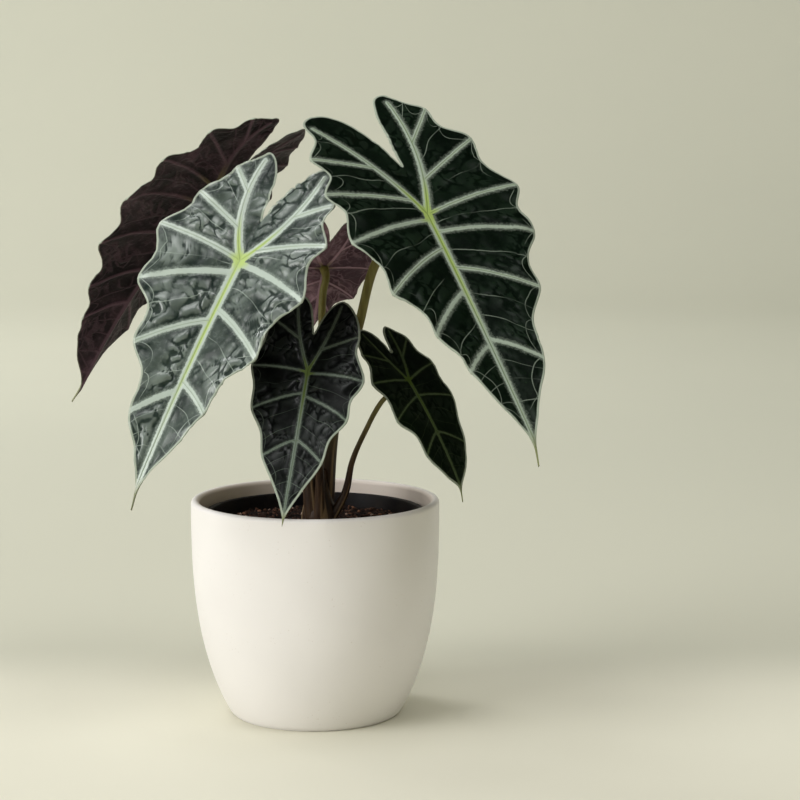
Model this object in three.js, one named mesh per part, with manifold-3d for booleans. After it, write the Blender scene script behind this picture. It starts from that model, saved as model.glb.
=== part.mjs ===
// A potted alocasia polly: a white ceramic pot, a black nursery pot with soil in it,
// one crown of petioles and six arrow-shaped leaves with waved edges.
// Units are millimetres, +Z is up, the front of the plant faces -Y, and the origin
// is the centre of the pot's flat base.
import * as THREE from "three";
import { mergeVertices } from "three/addons/utils/BufferGeometryUtils.js";
import Module from "manifold-3d";

const wasm = await Module();
wasm.setup();

const degree = Math.PI / 180;
const clearance = 0.3;

// The ceramic pot
const potHeight = 122.5;
const potRadius = 70;
const potFootRadius = 47.6;
const potWall = 4.8;
const potFloor = 6;
const potSides = 56;
const potWallSteps = 9;
const potFootEdge = 2;
const potFillet = 3;
const potSwell = 2.9;
const potFlare = 0.92;

// The nursery pot inside it
const linerTop = 115.5;
const linerBottom = potFloor + clearance;
const linerFootRadius = 41;
const linerRadius = 60;
const linerRimRadius = 62.2;
const linerRimDepth = 6;
const linerWall = 1;
const linerFloor = 1.2;
const linerSides = 44;
const drainRadius = 4;
const drainCircle = 27;
const drainCount = 6;

// The soil, and the hole in it that the crown stands in
const soilTop = 108;
const soilRelief = 1.6;
const soilShoulder = 4;
const soilRings = 7;
const crownX = 2.5;
const crownRadius = 10.3;
const crownDepth = 14;

// The blades
const bladeThickness = 0.8;
const waveHeight = 0.042;
const veinArch = 0.2;
const bladeSteps = 4;
const archStart = -5;
const archLength = 15;
const innerColumns = 2;

// Where the points that shape a blade's edge lie, as shares: along the inner edge of a
// lobe, from one vein's end to the next, and from the last vein's end to the tip, where
// the narrow drip tip starts at the third of them.
const innerMarks = [0, 0.3, 0.6, 0.85, 1];
const edgeMarks = [0, 0.5, 1];
const tipMarks = [0, 0.5, 0.75, 1];

// Each leaf lies flat in coordinates u and v, in millimetres: the petiole joins at
// (0, 0), v runs along the midrib to the tip, and u runs to the right, seen from the
// upper side. A side lists the bend of the costa that runs to its lobe's tip, two
// handles of the lobe's inner edge, and the points that shape its outer edge: the
// lobe's tip, and then by turns a notch and the end of a side vein, with a last notch
// before the leaf's tip. The first veins leave the costa at the places in costalRoots,
// and the rest leave the midrib at the places in midribRoots, both as lengths from the
// petiole. The drip tip is given by half its width where it starts, its length and how
// far it bends aside, and columns is the number of facets from midrib to edge. The pose
// is where the petiole joins, the compass heading of the tip, its dip below level, a
// roll about the midrib, the bend of blade and lobes in degrees per 100 mm, and for
// each side the fold at the midrib and the curl towards the edge.
const leaves = {
  leaf_back_left: {
    joint: [-56, 30, 294.3],
    heading: 160, dip: 43, roll: 6, bend: 14, lobeBend: 28,
    length: 156, sinus: -24, drip: [1.3, 12, 2], columns: 5,
    midribRoots: [0, 12, 36, 62, 86],
    left: {
      fold: 6, curl: 44,
      costa: [-14, -26], inner: [[-1, -42], [2, -66]], costalRoots: [38, 20],
      edge: [[-12, -60], [-22, -54], [-28, -45], [-33, -37], [-41, -29], [-42, -18], [-55, -3],
        [-50, 11], [-56, 25], [-43, 42], [-43, 57], [-27, 71], [-26, 84], [-19, 93], [-20, 107],
        [-10, 121]],
    },
    right: {
      fold: 28, curl: 50,
      costa: [18, -25], inner: [[5, -42], [10, -60]], costalRoots: [42, 22],
      edge: [[17, -59], [22, -54], [29, -51], [31, -40], [45, -32], [38, -17], [57, -6], [49, 8],
        [59, 23], [43, 43], [49, 55], [33, 71], [33, 84], [24, 95], [24, 104], [15, 124]],
    },
  },
  leaf_front_left: {
    joint: [-38.1, -42, 259.2],
    heading: -130, dip: 52, roll: -13, bend: 6, lobeBend: 10,
    length: 150, sinus: -27, drip: [1.2, 13, 2], columns: 5,
    midribRoots: [0, 35, 79],
    left: {
      fold: 20, curl: 12,
      costa: [-19, -29], inner: [[-2, -46], [-6, -68]], costalRoots: [47, 22, 6],
      edge: [[-15, -68], [-21, -61], [-28, -53], [-30, -44], [-40, -31], [-40, -20], [-51, -5],
        [-45, 12], [-48, 29], [-35, 43], [-34, 64], [-22, 79], [-20, 101], [-10, 118]],
    },
    right: {
      fold: 6, curl: 12,
      costa: [25, -28], inner: [[5, -46], [12, -65]], costalRoots: [39, 9],
      edge: [[24, -66], [32, -57], [39, -44], [39, -31], [47, -18], [43.5, -3], [49, 17],
        [38.5, 34], [38, 55], [26, 71], [22, 91], [12, 115]],
    },
  },
  leaf_right: {
    joint: [62.7, -28, 283.2],
    heading: -59, dip: 45, roll: -7, bend: 2, lobeBend: 10,
    length: 168, sinus: -37, drip: [1.1, 15, -3.8], columns: 5,
    midribRoots: [0, 18, 46, 88],
    left: {
      fold: -4, curl: 8,
      costa: [-17, -40], inner: [[-9, -62], [-26, -94]], costalRoots: [43, 12],
      edge: [[-47, -73], [-46, -59], [-55, -44], [-49, -31], [-57, -17], [-52, -2], [-55, 19],
        [-45, 37], [-45, 55], [-33, 68], [-31, 84], [-23, 99], [-20, 108], [-11, 130]],
    },
    right: {
      fold: 20, curl: 12,
      costa: [18, -46], inner: [[2, -64], [1, -98]], costalRoots: [58, 27],
      edge: [[14, -95], [24, -86], [34, -78], [35, -63], [50, -50], [46.5, -31], [60, -11],
        [53.5, 5], [57, 22], [44, 40], [43, 60], [29.5, 81], [26, 105], [14, 127]],
    },
  },
  leaf_back: {
    joint: [4.4, 34, 249.7],
    heading: 104, dip: 46, roll: 0, bend: 16, lobeBend: 12,
    length: 56, sinus: -22.5, drip: [0.9, 10, 1.5], columns: 4,
    midribRoots: [0, 10, 22],
    left: {
      fold: 8, curl: 15,
      costa: [-10, -13], inner: [[-4, -29], [-5, -42]], costalRoots: [20],
      edge: [[-14, -41], [-20, -34], [-25, -25], [-25, -13], [-30, 5], [-24.5, 18.5], [-22, 28],
        [-12, 31.5], [-8, 37.8], [-3.6, 42.3]],
    },
    right: {
      fold: 8, curl: 15,
      costa: [9, -13], inner: [[1, -29], [3, -43]], costalRoots: [20],
      edge: [[13, -42], [19, -35], [24, -26], [25, -13], [30, 4], [25, 16], [22, 27], [13.5, 31],
        [9, 38], [4, 42.5]],
    },
  },
  leaf_front: {
    joint: [-1.8, -50, 200.5],
    heading: -101, dip: 51, roll: -18, bend: 4, lobeBend: 8,
    length: 94, sinus: -24, drip: [1, 6, 0], columns: 4,
    midribRoots: [0, 15, 43],
    left: {
      fold: -8, curl: 10,
      costa: [-9, -20], inner: [[-2, -36], [-3, -50]], costalRoots: [24],
      edge: [[-12, -49], [-19, -42], [-24, -32], [-27, -15], [-31, 0], [-28, 13], [-27, 27],
        [-20, 41], [-17, 55], [-8, 72]],
    },
    right: {
      fold: 20, curl: 12,
      costa: [9, -20], inner: [[2.5, -34], [8, -46]], costalRoots: [16],
      edge: [[14, -45.5], [21.5, -37.5], [26, -22], [25.5, -12], [32, 6], [26.5, 19], [26, 31],
        [18.5, 43], [16, 57], [8, 73]],
    },
  },
  leaf_front_right: {
    joint: [52.6, -26, 192.1],
    heading: -42, dip: 49, roll: 0, bend: 20, lobeBend: 8,
    length: 75, sinus: -20, drip: [1, 8, -2.2], columns: 4,
    midribRoots: [0, 9, 33],
    left: {
      fold: -2, curl: 8,
      costa: [-7, -15], inner: [[-2, -29], [-5, -39]], costalRoots: [18],
      edge: [[-13, -37], [-19, -30], [-22, -21], [-22, -13], [-27, -2], [-24, 9], [-24, 23],
        [-17, 34], [-15, 46], [-8, 59]],
    },
    right: {
      fold: 8, curl: 12,
      costa: [7, -15], inner: [[1.3, -29], [2.8, -37]], costalRoots: [18],
      edge: [[7.5, -36.8], [13, -31.5], [17, -27], [18, -18], [24, -8], [23, 3], [24, 15], [19, 30],
        [16.5, 43], [9, 57]],
    },
  },
};

// Each petiole runs up from the crown through these points to its leaf, and thins
// from the first radius to the second.
const petioles = {
  leaf_back_left: {
    radii: [5, 2.5],
    path: [[0, 3, 100], [-5, 8, 165], [-19, 16, 228], [-38, 23, 272]],
  },
  leaf_front_left: {
    radii: [5, 2.4],
    path: [[0, -3, 100], [-6, -6, 155], [-14, -13, 210], [-25, -26, 243]],
  },
  leaf_right: {
    radii: [5, 2.6],
    path: [[5, 2, 100], [11, 4, 165], [25, 3, 221], [35.5, -1, 257]],
  },
  leaf_back: {
    radii: [4, 2.1],
    path: [[4, 5, 100], [3.6, 9, 160], [3.4, 19, 210], [4, 26, 236]],
  },
  leaf_front: {
    radii: [4, 1.9],
    path: [[2, -5, 100], [3, -12, 140], [2, -28, 174], [0, -39, 189]],
  },
  leaf_front_right: {
    radii: [3.2, 1.4],
    path: [[7, -2, 107], [17, -3, 126], [21, -6, 144], [28, -11, 161], [39, -18, 181]],
  },
};
const petioleSides = 10;
const petioleSteps = 16;
const petioleLanding = 7;
const petioleGap = 0.8;

const colours = {
  ceramic: { color: 0xe9e4d8, roughness: 0.55 },
  blackPlastic: { color: 0x17161a, roughness: 0.4 },
  soil: { color: 0x2a1d15, roughness: 1 },
  petiole: { color: 0x5c4f22, roughness: 0.5 },
  blade: { color: 0x16261a, roughness: 0.38 },
};

const materials = {};
for (const [name, look] of Object.entries(colours)) {
  materials[name] = new THREE.MeshStandardMaterial({ ...look, metalness: 0 });
}

const plant = new THREE.Group();
plant.name = "potted_alocasia_polly";

function addNode(name, geometry, material) {
  const mesh = new THREE.Mesh(geometry, material);
  mesh.name = name;
  plant.add(mesh);
}

// Vertices at one place become one vertex, and the slivers this leaves are dropped.
function weld(geometry) {
  const bare = geometry.clone();
  bare.deleteAttribute("normal");
  bare.deleteAttribute("uv");
  const merged = mergeVertices(bare, 1e-4);
  const index = merged.getIndex().array;
  const kept = [];
  for (let i = 0; i < index.length; i += 3) {
    const [a, b, c] = [index[i], index[i + 1], index[i + 2]];
    if (a !== b && b !== c && c !== a) kept.push(a, b, c);
  }
  merged.setIndex(kept);
  return merged;
}

function toSolid(geometry) {
  const welded = weld(geometry);
  return new wasm.Manifold(new wasm.Mesh({
    numProp: 3,
    vertProperties: new Float32Array(welded.getAttribute("position").array),
    triVerts: new Uint32Array(welded.getIndex().array),
  }));
}

function toGeometry(solid) {
  const mesh = solid.getMesh();
  const geometry = new THREE.BufferGeometry();
  geometry.setAttribute("position", new THREE.BufferAttribute(new Float32Array(mesh.vertProperties), 3));
  geometry.setIndex(Array.from(mesh.triVerts));
  return geometry;
}

// A profile of [radius, height] pairs, turned about the Z axis.
function turned(profile, sides) {
  const points = profile.map(([radius, height]) => new THREE.Vector2(radius, height));
  return weld(new THREE.LatheGeometry(points, sides).rotateX(Math.PI / 2));
}

// The pot swells quickly from its foot and stands nearly upright at the rim.
function potOuterRadius(z) {
  const rise = 1 - Math.pow(1 - z / potHeight, potSwell);
  return potFootRadius + (potRadius - potFootRadius) * Math.pow(rise, potFlare);
}

// Heights up a wall, closer together near its foot where it turns most.
function wallHeight(bottom, top, step) {
  return bottom + (top - bottom) * Math.pow(step / potWallSteps, 1.25);
}

function makePot() {
  const lip = potWall / 2;
  const lipFoot = potHeight - lip;
  const profile = [[0, 0], [potFootRadius, 0]];
  for (let i = 0; i <= potWallSteps; i++) {
    const z = wallHeight(potFootEdge, lipFoot, i);
    profile.push([potOuterRadius(z), z]);
  }
  for (const angle of [45, 90, 135]) {
    profile.push([
      potRadius - lip + lip * Math.cos(angle * degree),
      lipFoot + lip * Math.sin(angle * degree),
    ]);
  }
  for (let i = potWallSteps; i >= 1; i--) {
    const z = wallHeight(potFloor + potFillet, lipFoot, i);
    profile.push([potOuterRadius(z) - potWall, z]);
  }
  profile.push([potOuterRadius(potFloor) - potWall - 2, potFloor], [0, potFloor]);
  return turned(profile, potSides);
}

function linerInnerRadius(z) {
  const rise = (z - linerBottom) / (linerTop - linerBottom);
  return linerFootRadius + (linerRadius - linerFootRadius) * rise - linerWall;
}

function makeLiner() {
  const rimFoot = linerTop - linerRimDepth;
  const floorTop = linerBottom + linerFloor;
  const body = toSolid(turned([
    [0, linerBottom],
    [linerFootRadius, linerBottom],
    [linerInnerRadius(rimFoot) + linerWall, rimFoot],
    [linerRimRadius, rimFoot],
    [linerRimRadius, linerTop - 0.8],
    [linerRimRadius - 0.8, linerTop],
    [linerInnerRadius(linerTop), linerTop],
    [linerInnerRadius(rimFoot), rimFoot],
    [linerInnerRadius(floorTop), floorTop],
    [0, floorTop],
  ], linerSides));
  let pot = body;
  for (let i = 0; i < drainCount; i++) {
    const angle = i * 2 * Math.PI / drainCount;
    const hole = new THREE.CylinderGeometry(drainRadius, drainRadius, 10, 10);
    hole.rotateX(Math.PI / 2);
    hole.translate(drainCircle * Math.cos(angle), drainCircle * Math.sin(angle), linerBottom);
    pot = pot.subtract(toSolid(hole));
  }
  return toGeometry(pot);
}

// Low mounds and dips from a few crossed waves.
function soilHeight(x, y) {
  const broad = Math.sin(x * 0.11 + 1.3) * Math.cos(y * 0.13 - 0.4);
  const fine = Math.sin(x * 0.31 - y * 0.23) * Math.cos(y * 0.37 + x * 0.12);
  return soilTop + soilRelief * (0.5 * broad + 0.5 * fine);
}

function makeSoil() {
  const floor = linerBottom + linerFloor + clearance;
  const sideTop = soilTop - soilShoulder;
  const profile = [[0, floor], [linerInnerRadius(floor) - clearance, floor]];
  for (let i = 0; i <= soilRings; i++) {
    const share = i / soilRings;
    profile.push([(linerInnerRadius(sideTop) - clearance) * (1 - share), i === 0 ? sideTop : soilTop]);
  }
  const mound = turned(profile, linerSides);
  const position = mound.getAttribute("position");
  for (let i = 0; i < position.count; i++) {
    if (position.getZ(i) < sideTop + 1) continue;
    position.setZ(i, soilHeight(position.getX(i), position.getY(i)));
  }
  const hole = turned([
    [0, soilTop - crownDepth - clearance],
    [crownRadius + clearance, soilTop - crownDepth - clearance],
    [crownRadius + clearance, soilTop + 10],
    [0, soilTop + 10],
  ], 24).translate(crownX, 0, 0);
  return toGeometry(toSolid(mound).subtract(toSolid(hole)));
}

function bezier(points, t) {
  let row = points;
  while (row.length > 1) {
    row = row.slice(1).map((end, i) => row[i].map((start, k) => start + (end[k] - start) * t));
  }
  return row[0];
}

// The spine of one side runs from the lobe's tip along the costa to the petiole, at
// negative lengths, and on along the midrib to the leaf's tip, where it bends aside.
function spinePoint(leaf, side, length) {
  const [, dripLength, dripBend] = leaf.drip;
  const past = Math.max(0, 1 - (leaf.length - length) / dripLength);
  if (length >= 0) return [dripBend * past, length];
  return bezier([[0, 0], side.costa, side.edge[0]], Math.min(1, -length / Math.hypot(...side.edge[0])));
}

// The edge is one smooth curve from the sinus round the lobe to the leaf's tip.
function edgeCurve(leaf, side) {
  const inner = innerMarks.map((mark) => bezier([[0, leaf.sinus], ...side.inner, side.edge[0]], mark));
  const [dripWidth, dripLength, dripBend] = leaf.drip;
  const knots = [
    ...inner,
    ...side.edge.slice(1),
    [Math.sign(side.edge[0][0]) * dripWidth, leaf.length - dripLength],
    [dripBend, leaf.length],
  ];
  const points = knots.map(([u, v]) => new THREE.Vector3(u, v, 0));
  return new THREE.CatmullRomCurve3(points, false, "centripetal");
}

// The point of an edge curve at a share between the marks that follow its knot.
function edgePoint(curve, knot, marks, share) {
  const next = Math.max(1, marks.findIndex((mark) => mark >= share));
  const part = (share - marks[next - 1]) / (marks[next] - marks[next - 1]);
  const point = curve.getPoint((knot + next - 1 + part) / (curve.points.length - 1));
  return [point.x, point.y];
}

// The stations of one side: each vein, and the steps between it and the next.
function stations(leaf, side) {
  const costal = side.costalRoots.map((length) => -length);
  const starts = [-Math.hypot(...side.edge[0]), ...costal, ...leaf.midribRoots, leaf.length];
  const curve = edgeCurve(leaf, side);
  const list = [];
  for (let i = 0; i + 1 < starts.length; i++) {
    const knot = innerMarks.length - 1 + 2 * i;
    for (let k = 0; k < bladeSteps; k++) {
      const share = k / bladeSteps;
      list.push({
        root: starts[i] + (starts[i + 1] - starts[i]) * share,
        end: edgePoint(curve, knot, i + 2 < starts.length ? edgeMarks : tipMarks, share),
        wave: Math.cos(2 * Math.PI * share),
      });
    }
  }
  list.push({ root: leaf.length, end: [leaf.drip[2], leaf.length], wave: 0 });
  return list;
}

// A flat net of welded points: u, v, and how much the edge's wave lifts each.
class Net {
  constructor() {
    this.points = [];
    this.triangles = [];
    this.known = new Map();
  }

  point(u, v, lift) {
    const key = `${Math.round(u * 500)},${Math.round(v * 500)}`;
    if (!this.known.has(key)) {
      this.known.set(key, this.points.length);
      this.points.push([u, v, lift]);
    }
    return this.known.get(key);
  }

  triangle(a, b, c) {
    if (a === b || b === c || c === a) return;
    const [p, q, r] = [this.points[a], this.points[b], this.points[c]];
    const turn = (q[0] - p[0]) * (r[1] - p[1]) - (q[1] - p[1]) * (r[0] - p[0]);
    this.triangles.push(turn > 0 ? [a, b, c] : [a, c, b]);
  }

  strip(rows) {
    for (let i = 0; i + 1 < rows.length; i++) {
      for (let k = 0; k + 1 < rows[i].length; k++) {
        this.triangle(rows[i][k], rows[i][k + 1], rows[i + 1][k + 1]);
        this.triangle(rows[i][k], rows[i + 1][k + 1], rows[i + 1][k]);
      }
    }
  }
}

// Side veins arch away from the tip that they lean towards, those of the lobes hardly.
function veinPoint(root, station, share) {
  const [du, dv] = [station.end[0] - root[0], station.end[1] - root[1]];
  const amount = veinArch * (1 + Math.tanh((station.root - archStart) / archLength)) / 2;
  const arch = amount * Math.hypot(du, dv) * share * (1 - share);
  return [root[0] + du * share, root[1] + dv * share - arch];
}

function makeNet(leaf) {
  const net = new Net();
  for (const side of [leaf.left, leaf.right]) {
    const list = stations(leaf, side);
    const curve = edgeCurve(leaf, side);
    const outer = list.map((station) => {
      const root = spinePoint(leaf, side, station.root);
      const row = [];
      for (let k = 0; k <= leaf.columns; k++) {
        const share = k / leaf.columns;
        const [u, v] = veinPoint(root, station, share);
        const reach = Math.hypot(station.end[0] - root[0], station.end[1] - root[1]);
        row.push(net.point(u, v, -station.wave * waveHeight * reach * share * share));
      }
      return row;
    });
    net.strip(outer);

    // A second strip joins the costa to the inner edge.
    const costal = list.filter((station) => station.root <= 0);
    const inner = costal.map((station) => {
      const share = station.root / list[0].root;
      const root = spinePoint(leaf, side, station.root);
      const rim = edgePoint(curve, 0, innerMarks, share);
      const row = [];
      for (let k = 0; k <= innerColumns; k++) {
        const [u, v] = bezier([root, rim], k / innerColumns);
        row.push(net.point(u, v, 0));
      }
      return row;
    });
    net.strip(inner);
  }
  return net;
}

// The three axes of a leaf at its petiole: along the midrib, to the right, and up
// from the upper side.
function leafAxes(leaf) {
  const [heading, dip, roll] = [leaf.heading * degree, leaf.dip * degree, leaf.roll * degree];
  const along = new THREE.Vector3(
    Math.cos(heading) * Math.cos(dip), Math.sin(heading) * Math.cos(dip), -Math.sin(dip));
  const level = new THREE.Vector3(
    Math.cos(heading) * Math.sin(dip), Math.sin(heading) * Math.sin(dip), Math.cos(dip));
  const across = new THREE.Vector3().crossVectors(level, along);
  const right = across.clone().multiplyScalar(Math.cos(roll)).addScaledVector(level, Math.sin(roll));
  const up = level.clone().multiplyScalar(Math.cos(roll)).addScaledVector(across, -Math.sin(roll));
  return { along, right, up };
}

// A length laid along an arc that turns at a steady rate: how far it gets forwards
// and how far it has turned aside.
function arc(length, rate) {
  if (Math.abs(rate) < 1e-6) return [length, 0];
  return [Math.sin(rate * length) / rate, (1 - Math.cos(rate * length)) / rate];
}

// The blade in space. The midrib bends down along an arc. Each side leaves it at the
// fold angle and curls down towards the edge along another arc.
function bladePoint(leaf, axes, u, v, lift) {
  const bend = (v >= 0 ? leaf.bend : leaf.lobeBend) * degree / 100;
  const [ahead, down] = arc(v, bend);
  const up = axes.up.clone().multiplyScalar(Math.cos(bend * v))
    .addScaledVector(axes.along, Math.sin(bend * v));
  const side = u < 0 ? leaf.left : leaf.right;
  const fold = side.fold * degree;
  const [out, droop] = arc(Math.abs(u), side.curl * degree / 100);
  const sideways = out * Math.cos(fold) + droop * Math.sin(fold);
  const upwards = out * Math.sin(fold) - droop * Math.cos(fold) + lift;
  return new THREE.Vector3(...leaf.joint)
    .addScaledVector(axes.along, ahead)
    .addScaledVector(axes.up, -down)
    .addScaledVector(axes.right, Math.sign(u) * sideways)
    .addScaledVector(up, upwards);
}

// The blade is the net laid on that surface, with half its thickness on either side,
// split into triangles alike on both faces.
function makeBlade(leaf) {
  const axes = leafAxes(leaf);
  const net = makeNet(leaf);
  const middle = net.points.map(([u, v, lift]) => bladePoint(leaf, axes, u, v, lift));
  const normals = middle.map(() => new THREE.Vector3());
  for (const [a, b, c] of net.triangles) {
    const normal = new THREE.Vector3().subVectors(middle[b], middle[a])
      .cross(new THREE.Vector3().subVectors(middle[c], middle[a]));
    for (const corner of [a, b, c]) normals[corner].add(normal);
  }
  const count = middle.length;
  const positions = [];
  for (const sign of [1, -1]) {
    middle.forEach((point, i) => {
      const offset = normals[i].clone().setLength(sign * bladeThickness / 2);
      positions.push(...point.clone().add(offset).toArray());
    });
  }
  const faces = [];
  const open = new Map();
  for (const [a, b, c] of net.triangles) {
    faces.push(a, b, c, a + count, c + count, b + count);
    for (const [p, q] of [[a, b], [b, c], [c, a]]) {
      if (!open.delete(`${q},${p}`)) open.set(`${p},${q}`, [p, q]);
    }
  }
  for (const [p, q] of open.values()) {
    faces.push(p, p + count, q + count, p, q + count, q);
  }
  const geometry = new THREE.BufferGeometry();
  geometry.setAttribute("position", new THREE.Float32BufferAttribute(positions, 3));
  geometry.setIndex(faces);
  return geometry;
}

// A round tube along a smooth curve, closed at both ends, that thins upwards.
function makeTube(points, radii) {
  const curve = new THREE.CatmullRomCurve3(points, false, "centripetal");
  const frames = curve.computeFrenetFrames(petioleSteps, false);
  const positions = [];
  for (let i = 0; i <= petioleSteps; i++) {
    const centre = curve.getPointAt(i / petioleSteps);
    const share = Math.min(1, 1.6 * i / petioleSteps);
    const radius = radii[0] + (radii[1] - radii[0]) * share * (2 - share);
    for (let k = 0; k < petioleSides; k++) {
      const angle = 2 * Math.PI * k / petioleSides;
      positions.push(...centre.clone()
        .addScaledVector(frames.normals[i], radius * Math.cos(angle))
        .addScaledVector(frames.binormals[i], radius * Math.sin(angle)).toArray());
    }
  }
  const last = petioleSteps * petioleSides;
  const faces = [];
  for (let k = 0; k < petioleSides; k++) {
    const next = (k + 1) % petioleSides;
    for (let i = 0; i < petioleSteps; i++) {
      const row = i * petioleSides;
      const above = row + petioleSides;
      faces.push(row + k, row + next, above + next, row + k, above + next, above + k);
    }
    if (k > 0 && next > 0) faces.push(0, next, k, last, last + k, last + next);
  }
  const geometry = new THREE.BufferGeometry();
  geometry.setAttribute("position", new THREE.Float32BufferAttribute(positions, 3));
  geometry.setIndex(faces);
  return geometry;
}

// The crown is one body: a short thick base that stands in the soil, and the
// petioles that grow out of it. Each meets the underside of its leaf square on.
function makeCrown() {
  const base = turned([
    [0, soilTop - crownDepth],
    [crownRadius, soilTop - crownDepth],
    [crownRadius, soilTop + 3],
    [crownRadius - 1.5, soilTop + 14],
    [crownRadius - 4.5, soilTop + 26],
    [0, soilTop + 30],
  ], 24).translate(crownX, 0, 0);
  let crown = toSolid(base);
  for (const [name, petiole] of Object.entries(petioles)) {
    const leaf = leaves[name];
    const up = leafAxes(leaf).up;
    const joint = new THREE.Vector3(...leaf.joint);
    const points = petiole.path.map((point) => new THREE.Vector3(...point));
    points.push(joint.clone().addScaledVector(up, -petioleLanding));
    points.push(joint.clone().addScaledVector(up, -petioleGap - bladeThickness / 2));
    crown = crown.add(toSolid(makeTube(points, petiole.radii)));
  }
  return toGeometry(crown);
}

addNode("pot", makePot(), materials.ceramic);
addNode("nursery_pot", makeLiner(), materials.blackPlastic);
addNode("soil", makeSoil(), materials.soil);
addNode("crown_with_petioles", makeCrown(), materials.petiole);
for (const [name, leaf] of Object.entries(leaves)) {
  addNode(name, makeBlade(leaf), materials.blade);
}

export default plant;
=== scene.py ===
import math

import bmesh
import bpy
import numpy as np
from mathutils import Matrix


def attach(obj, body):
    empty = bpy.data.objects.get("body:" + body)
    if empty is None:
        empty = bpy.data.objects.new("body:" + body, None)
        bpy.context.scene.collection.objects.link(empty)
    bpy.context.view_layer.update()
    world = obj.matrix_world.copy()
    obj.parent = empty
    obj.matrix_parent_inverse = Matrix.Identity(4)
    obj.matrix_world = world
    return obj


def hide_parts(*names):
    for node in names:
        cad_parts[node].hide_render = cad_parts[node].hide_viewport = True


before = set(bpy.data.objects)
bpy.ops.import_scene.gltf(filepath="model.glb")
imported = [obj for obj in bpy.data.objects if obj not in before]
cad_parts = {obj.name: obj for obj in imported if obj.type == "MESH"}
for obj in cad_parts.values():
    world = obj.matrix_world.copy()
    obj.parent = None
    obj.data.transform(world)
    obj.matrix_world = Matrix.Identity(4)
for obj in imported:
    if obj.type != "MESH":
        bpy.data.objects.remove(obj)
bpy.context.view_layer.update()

# Shapes are worked out in millimetres and put into their meshes in metres.
mm = 0.001
degree = math.pi / 180


# A socket of a material's node tree. Sums on it add Math nodes, and node() makes any
# other node from its type, its settings and what goes into its sockets.
class Wire:
    def __init__(self, tree, socket=None):
        self.tree = tree
        self.socket = socket

    def node(self, kind, settings=None, inputs=None, output=0):
        made = self.tree.nodes.new(kind)
        for name, value in (settings or {}).items():
            setattr(made, name, value)
        for name, value in (inputs or {}).items():
            if isinstance(value, Wire):
                self.tree.links.new(value.socket, made.inputs[name])
            else:
                made.inputs[name].default_value = value
        return Wire(self.tree, made.outputs[output] if len(made.outputs) else None)

    def sum(self, operation, *values):
        return self.node("ShaderNodeMath", {"operation": operation}, dict(enumerate(values)))

    def __add__(self, other):
        return self.sum("ADD", self, other)

    def __radd__(self, other):
        return self.sum("ADD", other, self)

    def __sub__(self, other):
        return self.sum("SUBTRACT", self, other)

    def __rsub__(self, other):
        return self.sum("SUBTRACT", other, self)

    def __mul__(self, other):
        return self.sum("MULTIPLY", self, other)

    def __rmul__(self, other):
        return self.sum("MULTIPLY", other, self)

    def __abs__(self):
        return self.sum("ABSOLUTE", self)

    def most(self, other):
        return self.sum("MAXIMUM", self, other)

    # 0 below the low value, 1 above the high one, and an S curve between them
    def rise(self, low, high, start=0.0, end=1.0):
        return self.node("ShaderNodeMapRange", {"interpolation_type": "SMOOTHSTEP"},
                         {"Value": self, "From Min": low, "From Max": high, "To Min": start, "To Max": end})

    def fall(self, low, high):
        return self.rise(low, high, 1.0, 0.0)

    # this much of the second colour over the first
    def mix(self, first, second):
        first, second = (tone if isinstance(tone, Wire) else (*tone, 1) for tone in (first, second))
        return self.node("ShaderNodeMix", {"data_type": "RGBA"}, {0: self, 6: first, 7: second}, output=2)

    def attribute(self, name):
        return self.node("ShaderNodeAttribute", {"attribute_name": name}, output=2)

    def axis(self, number):
        return self.node("ShaderNodeSeparateXYZ", {}, {0: self}, output=number)

    def stretched(self, scale):
        return self.node("ShaderNodeMapping", {}, {0: self, "Scale": scale})

    def noise(self, scale, detail):
        return self.node("ShaderNodeTexNoise", {},
                         {"Vector": self, "Scale": scale, "Detail": detail, "Roughness": 0.55})

    def cells(self, scale):
        return self.node("ShaderNodeTexVoronoi", {}, {"Vector": self, "Scale": scale})

    def bump(self, distance, strength):
        return self.node("ShaderNodeBump", {}, {"Height": self, "Distance": distance, "Strength": strength})


# A material starts with the places of its points in metres, as they lie in the object,
# and its finish is a Principled shader
def newMaterial(name):
    material = bpy.data.materials.new(name)
    material.use_nodes = True
    material.node_tree.nodes.clear()
    wire = Wire(material.node_tree)
    return material, wire, wire.node("ShaderNodeTexCoord", output=3)


def finishMaterial(wire, inputs):
    shader = wire.node("ShaderNodeBsdfPrincipled", {}, inputs)
    wire.node("ShaderNodeOutputMaterial", {}, {"Surface": shader})


# An object of its own in the scene, from its mesh, light or camera
def newObject(name, data):
    made = bpy.data.objects.new(name, data)
    bpy.context.scene.collection.objects.link(made)
    return made


# Quads between the rows and columns of a grid of point numbers
def gridFaces(numbers):
    corners = (numbers[:-1, :-1], numbers[1:, :-1], numbers[1:, 1:], numbers[:-1, 1:])
    return np.stack([corner.ravel() for corner in corners], axis=1)


# Quads between closed rings of points that follow one another, facing outwards where the
# rings run anticlockwise and upwards
def ringFaces(rings, sides):
    numbers = np.arange(rings * sides).reshape(rings, sides)
    return gridFaces(np.concatenate([numbers, numbers[:, :1]], axis=1))[:, ::-1]


# Rings with one more at each end whose points all fall together
def capped(rings, start, end):
    shape = (1, *rings.shape[1:])
    return np.concatenate([np.broadcast_to(start, shape), rings, np.broadcast_to(end, shape)])


# Points round level rings, about the Z axis or a line beside it
def ringPoints(radius, height, angle, centreX=0.0):
    rings = np.broadcast_arrays(centreX + radius * np.cos(angle), radius * np.sin(angle), height)
    return np.stack(rings, axis=-1)


# Even angles once round
def roundAngles(sides):
    return np.linspace(0, 2 * np.pi, sides, endpoint=False)


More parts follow.
